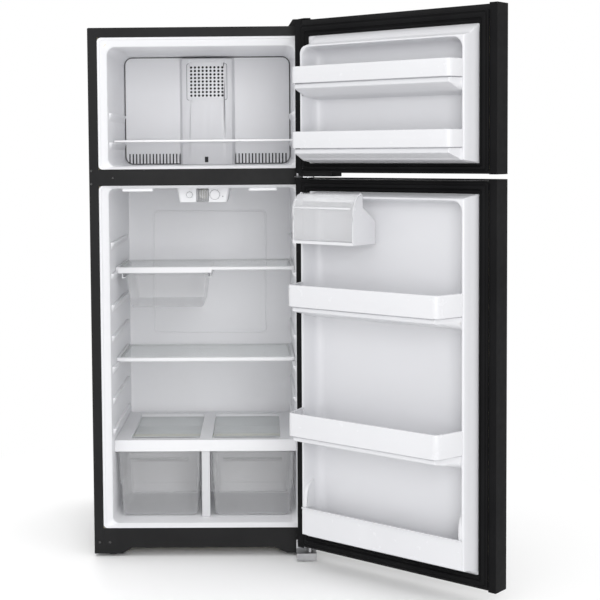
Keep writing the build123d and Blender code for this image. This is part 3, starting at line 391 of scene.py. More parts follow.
FOAM = moulded("rigid_foam", (0.72, 0.64, 0.4), (0.82, 0.75, 0.52), (0.8, 0.95),
               grain=260, relief=0.5)
ROLLER_WHITE = moulded("roller_nylon", (0.66, 0.66, 0.63), (0.75, 0.75, 0.72), (0.35, 0.5),
                       grain=700, relief=0.2)
# Painted shade: near-black laid behind openings and in holes, where only shade falls.
RECESS_SHADE_BLACK = moulded("painted_recess_shade", (0.03, 0.03, 0.032), (0.045, 0.045, 0.048), (0.6, 0.8),
                      grain=800, relief=0.1, shine=0.2)
# Painted shade: a dark strip for the shaded groove round the freezer's back cover.
GROOVE_SHADE_DARK = moulded("painted_groove_shade", (0.07, 0.07, 0.075), (0.1, 0.1, 0.105), (0.5, 0.6),
                      grain=800, relief=0.05)
SHADE_GREY = moulded("shaded_groove", (0.3, 0.305, 0.32), (0.34, 0.345, 0.36), (0.5, 0.6),
                     grain=800, relief=0.05)
CLEAR_BIN = clear("clear_bin_plastic", (0.8, 0.805, 0.825), (0.85, 0.855, 0.875),
                  0.07, 0.6, (0.05, 0.1))
PANE = clear("tempered_pane", (0.78, 0.84, 0.83), (0.84, 0.89, 0.88),
             0.05, 0.5, (0.02, 0.05), grain=40, relief=0.02)
CLEAR_FLAP = clear("clear_flap_plastic", (0.93, 0.935, 0.95), (0.96, 0.965, 0.98),
                   0.1, 0.6, (0.04, 0.09))
LAMP = clear("lamp_glass", (0.9, 0.88, 0.8), (0.96, 0.94, 0.88), 0.55, 0.95, (0.1, 0.2))

# node: (material, edge rounding in millimetres)
LOOKS = {
    "cabinet_shell": (BLACK_PAINT, 0),
    "rear_panel": (BACK_STEEL, 0),
    "base_frame": (ZINC, 0),
    "toe_grille": (BLACK_PAINT, 0.5),
    "mullion_rail": (BLACK_PAINT, 0),
    "cabinet_foam": (FOAM, 0),
    "freezer_liner": (LINER_WHITE, 0),
    "fresh_food_liner": (LINER_WHITE, 0),
    "compressor_cover": (BACK_STEEL, 0),
    "cord_gland": (RUBBER, 0.6),
    "evaporator_cover": (LINER_WHITE, 0.5),
    "evaporator_coil": (ALUMINIUM, 0),
    "evaporator_fan_motor": (ZINC, 1),
    "evaporator_fan_blade": (BLACK_PLASTIC, 0),
    "freezer_shelf": (COATED_WIRE, 0),
    "control_housing": (TRIM_WHITE, 0.6),
    "light_lens": (CLEAR_BIN, 0),
    "light_bulb": (LAMP, 0),
    "light_switch": (TRIM_WHITE, 0),
    "freezer_dial": (TRIM_WHITE, 0.3),
    "temperature_knob": (TRIM_WHITE, 0.4),
    "upper_shelf_frame": (TRIM_WHITE, 0.8),
    "lower_shelf_frame": (TRIM_WHITE, 0.8),
    "glass_panes": (PANE, 0.5),
    "meat_pan": (CLEAR_BIN, 0),
    "crisper_cover_frame": (TRIM_WHITE, 0.8),
    "crisper_support": (SUPPORT_WHITE, 0.8),
    "crisper_left": (CLEAR_BIN, 0),
    "crisper_right": (CLEAR_BIN, 0),
    "top_hinge": (BLACK_PAINT, 0.4),
    "top_hinge_cover": (BLACK_PLASTIC, 1),
    "middle_hinge": (ZINC, 0.5),
    "bottom_hinge": (ZINC, 0.5),
    "hinge_screws": (ZINC, 0.5),
    "leveling_leg_left": (BLACK_PLASTIC, 0.8),
    "leveling_leg_right": (BLACK_PLASTIC, 0.8),
    "rear_roller_left": (ROLLER_WHITE, 0),
    "rear_roller_right": (ROLLER_WHITE, 0),
    "compressor": (BLACK_ENAMEL, 0),
    "condenser_coil": (BLACK_ENAMEL, 0),
    "condenser_fan_motor": (ZINC, 1),
    "condenser_fan_blade": (BLACK_PLASTIC, 0),
    "drain_pan": (BLACK_PLASTIC, 0.8),
    "freezer_door_skin": (DOOR_BLACK, 0),
    "freezer_door_caps": (BLACK_PLASTIC, 0.4),
    "freezer_door_foam": (FOAM, 0),
    "freezer_door_liner": (DOOR_WHITE_SHADED, 0),
    "freezer_door_gasket": (RUBBER, 0),
    "freezer_door_retainers": (TRIM_WHITE, 0),
    "freezer_door_handle": (BLACK_PLASTIC, 1.5),
    "fridge_door_skin": (DOOR_BLACK, 0),
    "fridge_door_caps": (BLACK_PLASTIC, 0.4),
    "fridge_door_foam": (FOAM, 0),
    "fridge_door_liner": (DOOR_WHITE_SHADED, 0),
    "fridge_door_gasket": (RUBBER, 0),
    "fridge_door_retainers": (TRIM_WHITE, 0),
    "fridge_bottom_retainer": (BAND_WHITE_SHADED, 0.8),
    "fridge_door_handle": (BLACK_PLASTIC, 1.5),
    "dairy_housing": (BAND_WHITE_SHADED, 0.6),
    "dairy_cover": (CLEAR_FLAP, 0.5),
}


# The door foams are drawn this far back, to stay hidden behind the liners' soft edges.
FOAM_BACKOFF = 5.0
# Edges that turn by more than this many degrees are rounded.
ROUNDED_TURN = 40


def dress_nodes():
    """Gives every CAD node its material and rounded edges, and draws the door foams back."""
    for node, (material, rounding) in LOOKS.items():
        part = NODES[node]
        for place in part.material_slots:
            place.material = material
        if rounding:
            weld = part.modifiers.new("weld", "WELD")
            weld.merge_threshold = SAME_CAD_SPOT
            edges = part.modifiers.new("edges", "BEVEL")
            edges.width = rounding * MM
            edges.segments = 2
            edges.limit_method = "ANGLE"
            edges.angle_limit = math.radians(ROUNDED_TURN)
            edges.harden_normals = True
    for node in ("freezer_door_foam", "fridge_door_foam"):
        weld = NODES[node].modifiers.new("weld", "WELD")
        weld.merge_threshold = SAME_CAD_SPOT
        shrink = NODES[node].modifiers.new("behind_the_liner", "DISPLACE")
        shrink.mid_level = 0
        shrink.strength = -FOAM_BACKOFF * MM


# ---------------------------------------------------------------- door liners
def corner_inset(side, end, r):
    """How far a point lies inside a rounded corner, from its distances to both edges."""
    if side >= r or end >= r:
        return min(side, end)
    return r - math.hypot(r - side, r - end)


class DoorMould:
    """A vacuum-formed door liner as one smooth sheet: dike, recess and shelf ledges.

    The dike is the raised band round the recess. low_steps and high_steps are for its bottom and
    top ends what SIDE_STEPS is for its sides. A shelf ledge stands out to the depth reach, and
    its front spans half_front to each side.
    """

    # Depths from the cabinet's front, positive into the cabinet.
    FLANGE = -13.0
    DIKE = 50.0
    FLOOR = -20.0
    # Half widths of the dike, of the recess's rim and of a shelf ledge.
    HALF = 300.0
    RIM = 278.9
    LEDGE = 282.0
    # Corner radii of the dike at the hinge and latch sides, and of the recess.
    CORNER_HINGE = 34.0
    CORNER_LATCH = 10.0
    CORNER_RECESS = 30.0
    # Distances in from the edge at which the wall reaches its knee and its top, and how far
    # past the top distances are still carried over.
    SIDE_STEPS = (8, 12)
    BEYOND = 60
    # How softly a shelf ledge runs into the recess.
    BLEND = 16.0

    def __init__(self, z0, z1, low_steps, high_steps, recess, shelves, reach, half_front):
        self.z0, self.z1 = z0, z1
        self.recess = recess
        self.shelves = shelves
        knee, top = self.SIDE_STEPS
        self.wall = softened([
            (-3, self.FLANGE), (0, self.FLANGE), (knee, 22), (top, self.DIKE), (26, self.DIKE),
        ], 5, 4)
        self.low_map, self.high_map = (
            list(zip((0, *steps, steps[1] + self.BEYOND), (0, knee, top, top + self.BEYOND)))
            for steps in (low_steps, high_steps)
        )
        self.bowl = softened([
            (-9, self.DIKE), (0, self.DIKE), (7.9, self.FLOOR), (70, self.FLOOR),
        ], 34, 10)
        self.shelf_side = softened([
            (-1, -60), (0, 40), (self.LEDGE - half_front, reach), (60, reach),
        ], 2.5, 3)
        self.shelf_low = softened([
            (-56, -60), (-45, -22), (-36, 42), (-14, reach), (-1, reach), (0, -60),
        ], 3, 3)

    def height(self, x, z):
        """How far the sheet stands out at a spot."""
        side = self.HALF - abs(x)
        low = read_off(self.low_map, z - self.z0) if z > self.z0 else z - self.z0
        high = read_off(self.high_map, self.z1 - z) if z < self.z1 else self.z1 - z
        corner = self.CORNER_HINGE if x > 0 else self.CORNER_LATCH
        outside = read_off(self.wall, corner_inset(side, min(low, high), corner))
        end = min(z - self.recess[0], self.recess[1] - z)
        inside = read_off(self.bowl, corner_inset(self.RIM - abs(x), end, self.CORNER_RECESS))
        face = min(outside, inside)
        for top in self.shelves:
            shelf = min(read_off(self.shelf_low, z - top),
                        read_off(self.shelf_side, self.LEDGE - abs(x)))
            near = max(self.BLEND - abs(face - shelf), 0) / self.BLEND
            face = max(face, shelf) + near * near * self.BLEND / 4
        return face

    def lines_across(self):
        """Where the sheet's grid lines stand from side to side."""
        marks = {self.HALF - d for d, _ in self.wall} | {self.RIM - d for d, _ in self.bowl}
        marks |= {self.LEDGE - d for d, _ in self.shelf_side}
        marks |= {self.HALF - 3.0 * i for i in range(1, 14)}
        marks |= {20.0 * i for i in range(12)}
        return thinned([-m for m in marks] + list(marks))

    def lines_up(self):
        """Where the sheet's grid lines stand from the bottom up."""
        low_back, high_back = ([(b, a) for a, b in run] for run in (self.low_map, self.high_map))
        marks = [self.z0 + read_off(low_back, d) for d, _ in self.wall if d > 0]
        marks += [self.z1 - read_off(high_back, d) for d, _ in self.wall if d > 0]
        marks += [self.recess[0] + d for d, _ in self.bowl]
        marks += [self.recess[1] - d for d, _ in self.bowl]
        for i in range(20):
            marks += [self.z0 - 2 + 3.0 * i, self.z1 + 2 - 3.0 * i]
        for top in self.shelves:
            marks += [top + d for d, _ in self.shelf_low] + [top + 2]
        marks += [self.z0 + 22.0 * i for i in range(int((self.z1 - self.z0) // 22))]
        return thinned(marks)

    def make(self, name, body, replaces):
        shape = Shape(on_door=True)
        across = self.lines_across()
        rows = [[(x, self.height(x, z), z) for x in across] for z in self.lines_up()]
        shape.loft(rows, False, (False, False))
        return shape.make(name, body, "white_liner", DOOR_WHITE_SHADED, replaces, sharp=60)


def thinned(marks, least=0.45):
    """Sorted marks with near doubles left out."""
    kept = []
    for mark in sorted(marks):
        if not kept or mark - kept[-1] > least:
            kept.append(mark)
    return kept


# Lowest and highest z of each door's dike, and the tops of its shelf ledges.
LINER_ENDS = {"freezer": (1258, 1645), "fridge": (90, 1171)}
FREEZER_SHELVES = (1302.0, 1496.0)
FRIDGE_SHELVES = (440.0, 831.0)


def make_door_liners():
    """The two door liners' finer sheets."""
    mould = DoorMould(*LINER_ENDS["freezer"], (6, 10), (25, 33), recess=(1275, 1606),
                      shelves=FREEZER_SHELVES, reach=98, half_front=270)
    mould.make("freezer_door_moulding", "freezer_door", ["freezer_door_liner"])
    mould = DoorMould(*LINER_ENDS["fridge"], (18, 22), (5, 11), recess=(120, 1152),
                      shelves=FRIDGE_SHELVES, reach=139, half_front=250)
    mould.make("fridge_door_moulding", "fridge_door", ["fridge_door_liner"])


# ---------------------------------------------------------------- door shelf fronts
def band_profile(z0, z1):
    """Section of a shelf front: a thin upright wall with a rolled top lip."""
    return softened([
        (2.5, z0 + 1), (1.2, z0), (0, z0 + 1), (-0.6, (z0 + z1) / 2), (0, z1 - 2),
        (1.5, z1), (5.5, z1), (6.2, z1 - 3), (3, z1 - 4.5), (2.5, z1 - 8),
    ], 1.0, 2)


# Half width over the shelf fronts' bent ends, and of the tabs and bin ends inside them.
BAND_HALF = 285
TAB_HALF = 284.5
# A shelf front's ends stand just clear of the dike's top.
BAND_FOOT = 50.4


def make_bands():
    """The shelf fronts on both doors, each bent round its two ends."""
    sets = (
        ("freezer", "freezer_door", [(z + 1, z + 51) for z in FREEZER_SHELVES], 107, 277),
        ("fridge", "fridge_door", [(441, 511), (832, 897)], 148, 262),
    )
    for name, body, heights, front, half in sets:
        shape = Shape(on_door=True)
        for z0, z1 in heights:
            path = softened([
                (-BAND_HALF, BAND_FOOT), (-half, front), (half, front), (BAND_HALF, BAND_FOOT),
            ], 16, 8)
            shape.along(path, band_profile(z0, z1))
            for side in (-1, 1):
                near, far = sorted((side * TAB_HALF, side * (TAB_HALF - 10)))
                shape.slab((near, 50.3, z0 + 4), (far, 54.5, z1 - 8), r=1.2)
        shape.make(f"{name}_shelf_fronts", body, "white_trim", BAND_WHITE_SHADED,
                   [f"{name}_door_retainers"])


def make_bin_ends():
    """Rising ends of the door's bottom bin, moulded onto its dikes."""
    shape = Shape(on_door=True)
    for side in (-1, 1):
        profile = softened([
            (BAND_FOOT, 200), (BAND_FOOT, 236), (44, 262), (30, 276), (12, 282),
        ], 14, 5)
        rings = []
        for reach, cut in ((0, 2.0), (3, 0.4), (11, 0.4), (14, 2.0)):
            x = side * (TAB_HALF - reach)
            rings.append([(x, y - cut, z - cut) for y, z in profile] + [(x, 12, 199), (x, 50, 199)])
        shape.loft(rings)
    shape.make("bottom_bin_ends", "fridge_door", "white_trim", BAND_WHITE_SHADED)


def make_dairy_details():
    """The flap's pull rib, drawn opaque white as a painted highlight on the clear flap, and the
    rolled front rims of the dairy bin's two ends.
    """
    shape = Shape(on_door=True)
    # Painted highlight: the clear flap's pull rib is drawn in opaque white for the bright line
    # along it.
    pull = softened([
        (101.2, 1123), (104.6, 1123.4), (105.2, 1126), (104.6, 1128.6), (101.2, 1129),
    ], 1, 2)
    shape.across(62, 272, pull, soft=1.2)
    shape.make("flap_pull_rib_highlight", "dairy_flap", "clear_plastic", BAND_WHITE_SHADED)
    rails = Shape(on_door=True)
    for x in (56.5, 277.5):
        path = [(x, 97.4, 1022)] + [(x, 97.4, 1030.0 + 14 * i) for i in range(6)]
        path += [(x, 58 + 39.4 * math.cos(a), 1100 + 65.4 * math.sin(a))
                 for a in (math.radians(10 * i) for i in range(1, 9))]
        rails.wire(path, 2.0)
    rails.make("dairy_end_rims", "fridge_door", "white_trim", BAND_WHITE_SHADED)


# ---------------------------------------------------------------- gaskets
# Distance in from the seal's outer edge, and depth.
GASKET_SECTION = (
    (0, -12.5), (0.5, -8), (2, -5.5), (4, -4.8), (5.2, -6.5), (6.8, -7), (8, -4), (9.6, -1.6),
    (12, -0.9), (15.2, -0.9), (17.6, -1.8), (18.8, -5), (20, -7.2), (21.6, -7), (22.8, -4.6),
    (24.8, -3.6), (26.8, -4.6), (28, -8.2), (29.4, -9.4), (30.3, -12.5),
)
# The seal's inner edge stands this far outside the dike's ends.
SEAL_GAP = 0.4


def make_gaskets():
    """The magnetic seals: a ribbed bellows section carried round each door."""
    section = softened(GASKET_SECTION, 1.2, 2)
    for name in ("freezer", "fridge"):
        low, high = door_box(f"{name}_door_gasket")
        shape = Shape(on_door=True)
        width = GASKET_SECTION[-1][0]
        rings = []
        for d, y in section:
            share = d / width
            z0 = low[2] + (LINER_ENDS[name][0] - SEAL_GAP - low[2]) * share
            z1 = high[2] - (high[2] - LINER_ENDS[name][1] - SEAL_GAP) * share
            radii = (max(7 - d * 0.1, 3),) * 4
            rings.append(upright(y, low[0] + d, high[0] - d, z0, z1, radii, 4))
        shape.loft(rings + [rings[0]], caps=(False, False))
        shape.make(f"{name}_seal", f"{name}_door", "black_rubber", RUBBER,
                   [f"{name}_door_gasket"], sharp=50)


# ---------------------------------------------------------------- cabinet liners
def tub_rings(sections):
    """Rings of a liner from (depth, half width, low, high, corner radius) sections."""
    return [upright(y, -x, x, z0, z1, (r,) * 4, 8) for y, x, z0, z1, r in sections]


LINER_DEPTH = 585
# The ribs are rooted just behind the side wall's face: half width there at the front, how much
# less it is at the back, and how far the ribs stand out.
ROOT_HALF = 297.5
ROOT_TAPER = 6.2
RIB_REACH = 10


def rib(shape, side, top, y0, y1):
    """A shelf support moulded in a side wall, rounded off at both ends."""
    rings = []
    reach = (0.15, 0.6, 0.88, 1, 1, 0.88, 0.6, 0.15)
    depth = (0, 2, 6, 12, y1 - y0 - 12, y1 - y0 - 6, y1 - y0 - 2, y1 - y0)
    for share, along in zip(reach, depth):
        y = y0 + along
        edge = ROOT_HALF - ROOT_TAPER * y / LINER_DEPTH
        out = edge - RIB_REACH * share
        section = softened([
            (edge, top), (out, top), (out, top - 5), (edge, top - 25 * share),
        ], 3.5, 3)
        rings.append([(side * x, y, z) for x, z in section])
    shape.loft(rings)


# Heights of the shelf supports' tops.
FREEZER_RIBS = (1327.5, 1421)
FRESH_RIBS = (401.0, 501.5, 602.5, 703.5, 804.0, 905.0, 1006.0)


def make_freezer_liner():
    """The freezer liner with its shelf supports."""
    shape = Shape()
    sections = softened([
        (0.8, 325.4, 1241.6, 1655.4, 12), (3, 325, 1242, 1655, 12), (6, 319, 1244, 1649, 13),
        (9, 318, 1244.5, 1648, 14), (25, 297, 1250, 1627, 26),
        (LINER_DEPTH, 291, 1250, 1627, 30), (LINER_DEPTH, 255, 1286, 1591, 8),
    ], 4, 4)
    shape.loft(tub_rings(sections), caps=(False, True))
    for top in FREEZER_RIBS:
        for side in (-1, 1):
            rib(shape, side, top, 60, 470)
    shape.make("freezer_tub", "cabinet", "white_liner", LINER_WHITE, ["freezer_liner"], sharp=60)


def make_fresh_liner():
    """The fresh-food liner: shelf supports, rear hump, two pads under its top, back wall bead."""
    shape = Shape()
    sections = softened([
        (0.8, 325.4, 92.1, 1189.4, 12), (3, 325, 92.5, 1189, 12), (6, 319, 94, 1187, 13),
        (9, 318, 95, 1186.5, 13), (25, 297, 102, 1180, 20),
        (LINER_DEPTH, 291, 102, 1180, 30), (LINER_DEPTH, 255, 138, 1144, 8),
    ], 4, 4)
    shape.loft(tub_rings(sections), caps=(False, True))
    for top in FRESH_RIBS:
        for side in (-1, 1):
            rib(shape, side, top, 62, 496)
    hump = softened([(419, 101), (449, 300), (586, 300)], 22, 6)
    shape.across(-292, 292, hump, closed=False)
    for x0, x1 in ((-255, -157), (148, 238)):
        shape.slab((x0, 34, 1170), (x1, 60, 1181), 2.5, 4)
    shape.make("fresh_food_tub", "cabinet", "white_liner", LINER_WHITE, ["fresh_food_liner"],
               sharp=60)
    bead = Shape()
    section = ((0, 585.5), (1, 583.6), (3, 582.8), (5, 582.8), (7, 583.8), (8, 585.2))
    bead.loft([upright(y, -205 + d, 205 - d, 640 + d, 1085 - d, (18 - d,) * 4)
               for d, y in section], caps=(False, False))
    bead.make("back_wall_bead", "cabinet", "white_liner", LINER_WHITE)


# ---------------------------------------------------------------- freezer cover details
# Depth of the duct's front at its middle, how far it falls back, and by what half width.
DUCT_CREST = 458.0
DUCT_FALL = 16
DUCT_HALF = 87
FAN_Z = 1539.0


def duct_front(x):
    """Depth of the duct's crowned front at x."""
    return DUCT_CREST + DUCT_FALL * (x / DUCT_HALF) ** 2


def crowned_sheet(shape, half, z0, z1, behind):
    """A sheet that follows the duct's crown from z0 to z1."""
    columns = [half * i / 6 for i in range(-6, 7)]
    front = [[(x, duct_front(x) + behind, z) for x in columns] for z in (z0, z1)]
    shape.loft(front, False, (False, False))


def make_cover_details():
    """Painted shade: dark sheets behind the cover's openings and on the duct's screw hole, and thin
    dark strips for the grooves round its parts.
    """
    # Painted shade: a dark sheet behind the fan grille's holes.
    dark = Shape()
    crowned_sheet(dark, 64, FAN_Z - 58, FAN_Z + 58, 3.2)
    dark.make("grille_shade_backing", "cabinet", "black_plastic", RECESS_SHADE_BLACK, thick=0.6)
    # Painted shade: dark slabs behind the return air slots, and one on the duct's front for the
    # screw hole.
    slots = Shape()
    for x0, x1 in ((-284, -102), (102, 284)):
        slots.slab((x0, 503.2, 1253), (x1, 505, 1300), 0.5)
    slots.slab((-9, 457.3, 1258), (3, 458.9, 1277), 0.6, 0.7)
    slots.make("return_air_shade", "cabinet", "black_plastic", RECESS_SHADE_BLACK)
    # Painted shade: a grey strip for the groove round the fan grille.
    groove = Shape()
    rings = []
    for reach, r in ((0, 8), (2, 6)):
        outline = rounded_outline(-71 + reach, 71 - reach, 1474 + reach, 1602 - reach,
                                  (r,) * 4)
        rings.append([(x, duct_front(x) - 0.25, z) for x, z in outline])
    groove.loft(rings, True, (False, False))
    groove.make("grille_groove_shade", "cabinet", "white_liner", SHADE_GREY, thick=0.2)
    # Painted shade: a dark strip for the groove between the cover and the liner.
    edge = Shape()
    edge.loft([upright(499.6, -290.4, 290.4, 1251, 1626.2, (28,) * 4, 8),
               upright(499.5, -287.4, 287.4, 1254, 1623.2, (25,) * 4, 8)], True, (False, False))
    edge.make("cover_groove_shade", "cabinet", "white_liner", GROOVE_SHADE_DARK, thick=0.2)


# ---------------------------------------------------------------- flange plugs
# Each plug's x, z and radius.
PLUGS = (
    (-349, 1237, 4), (-349, 1195.6, 4), (-281, 1214, 3.5), (-338.5, 46, 4.5), (-306, 46, 4.5),
)


def make_plugs():
    """Small plugs and screws set in the cabinet's front flange."""
    shape = Shape()
    for x, z, radius in PLUGS:
        dome = [(radius, 0), (radius, 0.9), (radius - 0.7, 1.6), (0.8, 1.8)]
        shape.turned((x, 0.2, z), FORWARD, dome, 20)
    shape.make("flange_plugs", "cabinet", "black_plastic", BLACK_ENAMEL)


# ---------------------------------------------------------------- control box
DIAL_SPOT = (-45.0, 1156.0)
KNOB_SPOT = (37.0, 1156.0)
# Depth at which the rings start, 0.1 mm behind the control box's face.
RING_DEPTH = 112.1
# How far the dots stand from each control's edge, and the arc they cover in degrees.
MARK_GAP = 2.6
MARK_ARC = 270


def make_control_details():
    """Grey rings round both controls and bars beside the lens, painted shade for their gaps; grey
    graduation dots; the lens's ribs in white as painted highlights.
    """
    # The grey rings round the controls and the bars beside the lens are painted shade for the gaps
    # round them; the graduation dots share their grey.
    marks = Shape()
    for (x, z), radius, count in ((DIAL_SPOT, 9, 7), (KNOB_SPOT, 15, 9)):
        for i in range(count):
            angle = math.radians(225 - MARK_ARC * i / (count - 1))
            reach = radius + MARK_GAP
            mx, mz = x + reach * math.cos(angle), z + reach * math.sin(angle)
            if abs(mz - z) < 17:
                dot = [(0.8, 0), (0.8, 0.25), (0.5, 0.35)]
                marks.turned((mx, RING_DEPTH - 0.15, mz), FORWARD, dot, 10)
        inner, outer = radius + 0.4, radius + 1.5
        ring = [(inner, 0), (outer, 0), (outer, 0.35), (inner, 0.35)]
        marks.turned((x, RING_DEPTH, z), FORWARD, ring, 36)
    for x in (-22.6, 17.6):
        marks.slab((x - 0.6, 111.5, 1135), (x + 0.6, 112.3, 1174), 0.3)
    marks.turned((63, RING_DEPTH, 1150), FORWARD, [(2.2, 0), (2.2, 0.3), (1.6, 0.5)], 14)
    marks.make("control_shade_and_marks", "cabinet", "black_plastic", SHADE_GREY)
    # Painted highlight: the clear lens's ribs are drawn in opaque white for the light lines along
    # them.
    ribs = Shape()
    for i in range(7):
        x = -19.5 + 5.6 * i
        ribs.slab((x - 0.8, 110.6, 1137), (x + 0.8, 112.4, 1172), 0.5)
    ribs.make("lens_rib_highlights", "cabinet", "clear_plastic", TRIM_WHITE)


def make_cover_strips():
    """Grey strips laid on the crisper cover: painted shade for the gaps just behind its front bar.
    """
    low, high = node_box("crisper_cover_frame")
    shape = Shape()
    # Painted shade for the gaps behind the front bar, laid just on the cover's top.
    for x0, x1 in ((-232, -34), (34, 232)):
        shape.slab((x0, low[1] + 33, high[2] - 0.9), (x1, low[1] + 47, high[2] - 0.3), 0.2, 3)
    shape.make("cover_gap_shade", "cabinet", "white_trim", SHADE_GREY)


# ---------------------------------------------------------------- clear drawers
# How far a tub's rolled rim rises, and how far it draws in from each face of the wall.
RIM_RISE = 0.8
RIM_INSET = 0.6
TUB_WALL = 2.5


def drawer(shape, top, steps, wall, floor_r):
    """A clear tub: outside sections from the floor up, over a rolled rim and down inside.

    A section is (z, x0, x1, y0, y1, corner radius), and the wall's thickness is wall.
    """
    outer = []
    z, x0, x1, y0, y1, r = steps[0]
    for i in range(5):
        a = math.radians(90 * i / 4)
        inset = floor_r * (1 - math.sin(a))
        rise = floor_r * (1 - math.cos(a))
        outer.append((z + rise, x0 + inset, x1 - inset, y0 + inset, y1 - inset,
                      max(r - inset, 1.5)))
    outer += list(steps[1:])
    inner = []
    for z, x0, x1, y0, y1, r in reversed(outer):
        inner.append((max(z, steps[0][0] + wall), x0 + wall, x1 - wall, y0 + wall, y1 - wall,
                      max(r - wall, 0.8)))
    _, x0, x1, y0, y1, r = outer[-1]
    rim = top + RIM_RISE
    rolled = [(rim, x0 + d, x1 - d, y0 + d, y1 - d, corner)
              for d, corner in ((RIM_INSET, r), (wall - RIM_INSET, r - wall))]
    shape.loft([level(*s) for s in outer + rolled + inner])


def make_crispers():
    """The two crispers, each with a pull under its front rim. The left one mirrors the right."""
    for side, name in ((-1, "left"), (1, "right")):
        shape = Shape()
        x0, x1, y0, y1 = 18.0, 288.0, 100.0, 408.0
        corner, top = 18, 313
        steps = [
            (103.5, x0 + 9, x1 - 14, y0 + 5, y1 - 18, corner),
            (209, x0 + 4.5, x1 - 8.5, y0 + 2.4, y1 - 8.5, corner),
            (211.5, x0 + 4, x1 - 8, y0 + 2, y1 - 8, corner),
            (216, x0 + 2, x1 - 4, y0 + 0.2, y1 - 4, corner),
            (219, x0 + 1.8, x1 - 3.6, y0, y1 - 3.6, corner),
            (300, x0 + 1.2, x1 - 1.4, y0, y1 - 0.6, corner),
            (304, x0 + 0.2, x1 - 0.4, y0 - 1, y1, corner),
            (top, x0, x1 - 0.2, y0 - 1.4, y1, corner),
        ]
        drawer(shape, top, steps, TUB_WALL, floor_r=12)
        pull = softened([
            (y0 + 1, 296), (y0 - 6, 295), (y0 - 7, 286), (y0 - 4.6, 286), (y0 - 3.6, 291.5),
            (y0 + 1, 292.5),
        ], 1.5, 3)
        shape.across(x0 + 40, x1 - 40, pull, soft=1.5)
        if side < 0:
            shape.points = [(-x, y, z) for x, y, z in shape.points]
        shape.make(f"crisper_{name}_tub", f"crisper_{name}_drawer", "clear_plastic", CLEAR_BIN,
                   [f"crisper_{name}"])


def make_meat_pan():
    """The meat pan with the flanges it hangs by."""
    shape = Shape()
    x0, x1, y0, y1 = -262.0, 8.0, 178.0, 468.0
    flange = 7.4
    steps = [
        (782, x0 + 13, x1 - 13, y0 + 6, y1 - 10, 12),
        (860, x0 + 3.6, x1 - 3.6, y0 + 1.8, y1 - 3, 11),
        (884.5, x0 + 0.6, x1 - 0.6, y0 + 0.4, y1 - 0.5, 10),
        (885.4, x0 - flange, x1 + flange, y0, y1, 5),
        (887.2, x0 - flange, x1 + flange, y0, y1, 5),
        (888, x0 + 0.4, x1 - 0.4, y0, y1, 9),
    ]
    drawer(shape, 889, steps, TUB_WALL, floor_r=8)
    shape.make("meat_pan_tub", "meat_drawer", "clear_plastic", CLEAR_BIN, ["meat_pan"])


# ---------------------------------------------------------------- stage, lights, camera
# The floor fades out between these distances from the object, in metres.
FADE_M = (0.7, 1.7)


def fading_floor():
    """White floor sheet that turns into the bright surround a little way from the object."""
    material, tree, shader = new_material("pale_floor")
    colour = tinted(tree, noise(tree, 0.8, 2), (0.94, 0.94, 0.94), (0.96, 0.96, 0.96))
    tree.links.new(colour, shader.inputs["Base Color"])
    tree.links.new(spread(tree, noise(tree, 30, 3), 0.6, 0.7), shader.inputs["Roughness"])
    shader.inputs["Specular IOR Level"].default_value = 0.15
    glow = tree.nodes.new("ShaderNodeEmission")
    place = tree.nodes.new("ShaderNodeTexCoord")
    distance = tree.nodes.new("ShaderNodeVectorMath")
    distance.operation = "LENGTH"
    tree.links.new(place.outputs["Object"], distance.inputs[0])
    blend = tree.nodes.new("ShaderNodeMixShader")
    tree.links.new(spread(tree, distance.outputs["Value"], 0.0, 1.0, FADE_M), blend.inputs["Fac"])
    tree.links.new(shader.outputs["BSDF"], blend.inputs[1])
    tree.links.new(glow.outputs["Emission"], blend.inputs[2])
    tree.links.new(blend.outputs["Shader"], tree.nodes["Material Output"].inputs["Surface"])
    return material


def make_stage():
    """A plain pale floor that fades into a white surround."""
    shape = Shape()
    reach, count, drop = 14000, 24, 0.2
    lines = [-reach + 2 * reach * i / count for i in range(count + 1)]
    rows = [[(x, y, -drop) for x in lines] for y in lines]
    shape.loft(rows, closed=False, caps=(False, False))
    mesh = bpy.data.meshes.new("floor")
    mesh.from_pydata([Vector(p) * MM for p in shape.points], [], shape.faces)
    floor = bpy.data.objects.new("floor", mesh)
    bpy.context.scene.collection.objects.link(floor)
    mesh.materials.append(fading_floor())


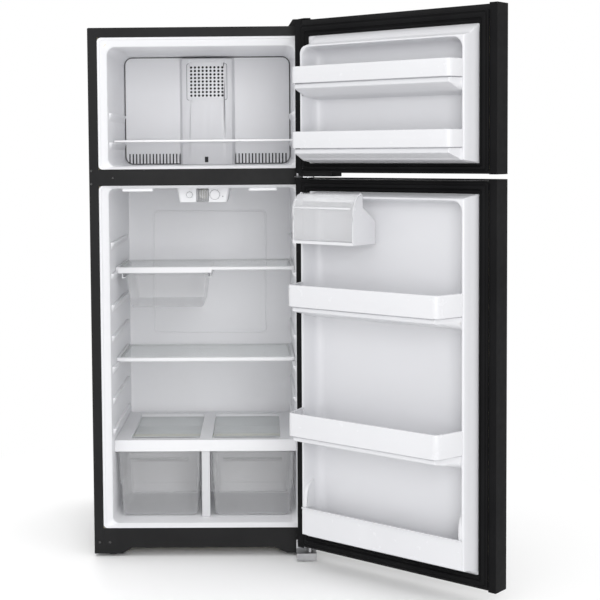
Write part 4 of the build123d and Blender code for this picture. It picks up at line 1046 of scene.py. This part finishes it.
def area_light(name, place, aim, size, power):
    """A soft rectangular light, placed in metres and aimed at a point."""
    data = bpy.data.lights.new(name, "AREA")
    data.shape = "RECTANGLE"
    data.size, data.size_y = size
    data.energy = power
    lamp = bpy.data.objects.new(name, data)
    lamp.location = place
    lamp.rotation_euler = (Vector(aim) - Vector(place)).to_track_quat("-Z", "Y").to_euler()
    bpy.context.scene.collection.objects.link(lamp)


def make_lights():
    """Even white surround, with four soft lights."""
    world = bpy.data.worlds.new("studio")
    bpy.context.scene.world = world
    world.use_nodes = True
    world.node_tree.nodes["Background"].inputs["Color"].default_value = (1, 1, 1, 1)
    world.node_tree.nodes["Background"].inputs["Strength"].default_value = 1.0
    area_light("key", (-2.2, -4.6, 2.8), (0.1, 0, 0.9), (2.4, 2.4), 14)
    area_light("fill", (0.9, -4.5, 1.5), (-0.1, 0.4, 0.8), (1.6, 2.6), 74)
    area_light("top", (0.1, -0.6, 4.4), (0.1, -0.1, 0), (3.0, 3.0), 20)
    area_light("rear", (-0.6, 4.6, 2.6), (0, 0.5, 0.8), (2.6, 2.2), 60)
    bpy.context.scene.view_settings.view_transform = "Standard"


# Place in metres and angles in radians.
CAMERA_PLACE = (0.195, -4.221, 1.301)
CAMERA_PITCH = -0.0586
CAMERA_YAW = -0.0133
CAMERA_ROLL = -0.0081
CAMERA_LENS = 80.25
CAMERA_SHIFT = (0.09, -0.12)


def make_camera():
    data = bpy.data.cameras.new("camera")
    data.lens = CAMERA_LENS
    data.sensor_width = 36
    data.shift_x, data.shift_y = CAMERA_SHIFT
    data.clip_end = 100
    camera = bpy.data.objects.new("camera", data)
    aim = Matrix.Rotation(-CAMERA_YAW, 4, "Z") @ Matrix.Rotation(math.pi / 2 + CAMERA_PITCH, 4, "X")
    roll = Matrix.Rotation(CAMERA_ROLL, 4, "Z")
    camera.matrix_world = Matrix.Translation(CAMERA_PLACE) @ aim @ roll
    bpy.context.scene.collection.objects.link(camera)
    bpy.context.scene.camera = camera


dress_nodes()
make_door_liners()
make_bands()
make_bin_ends()
make_dairy_details()
make_gaskets()
make_freezer_liner()
make_fresh_liner()
make_cover_details()
make_plugs()
make_control_details()
make_cover_strips()
make_crispers()
make_meat_pan()
make_stage()
make_lights()
make_camera()
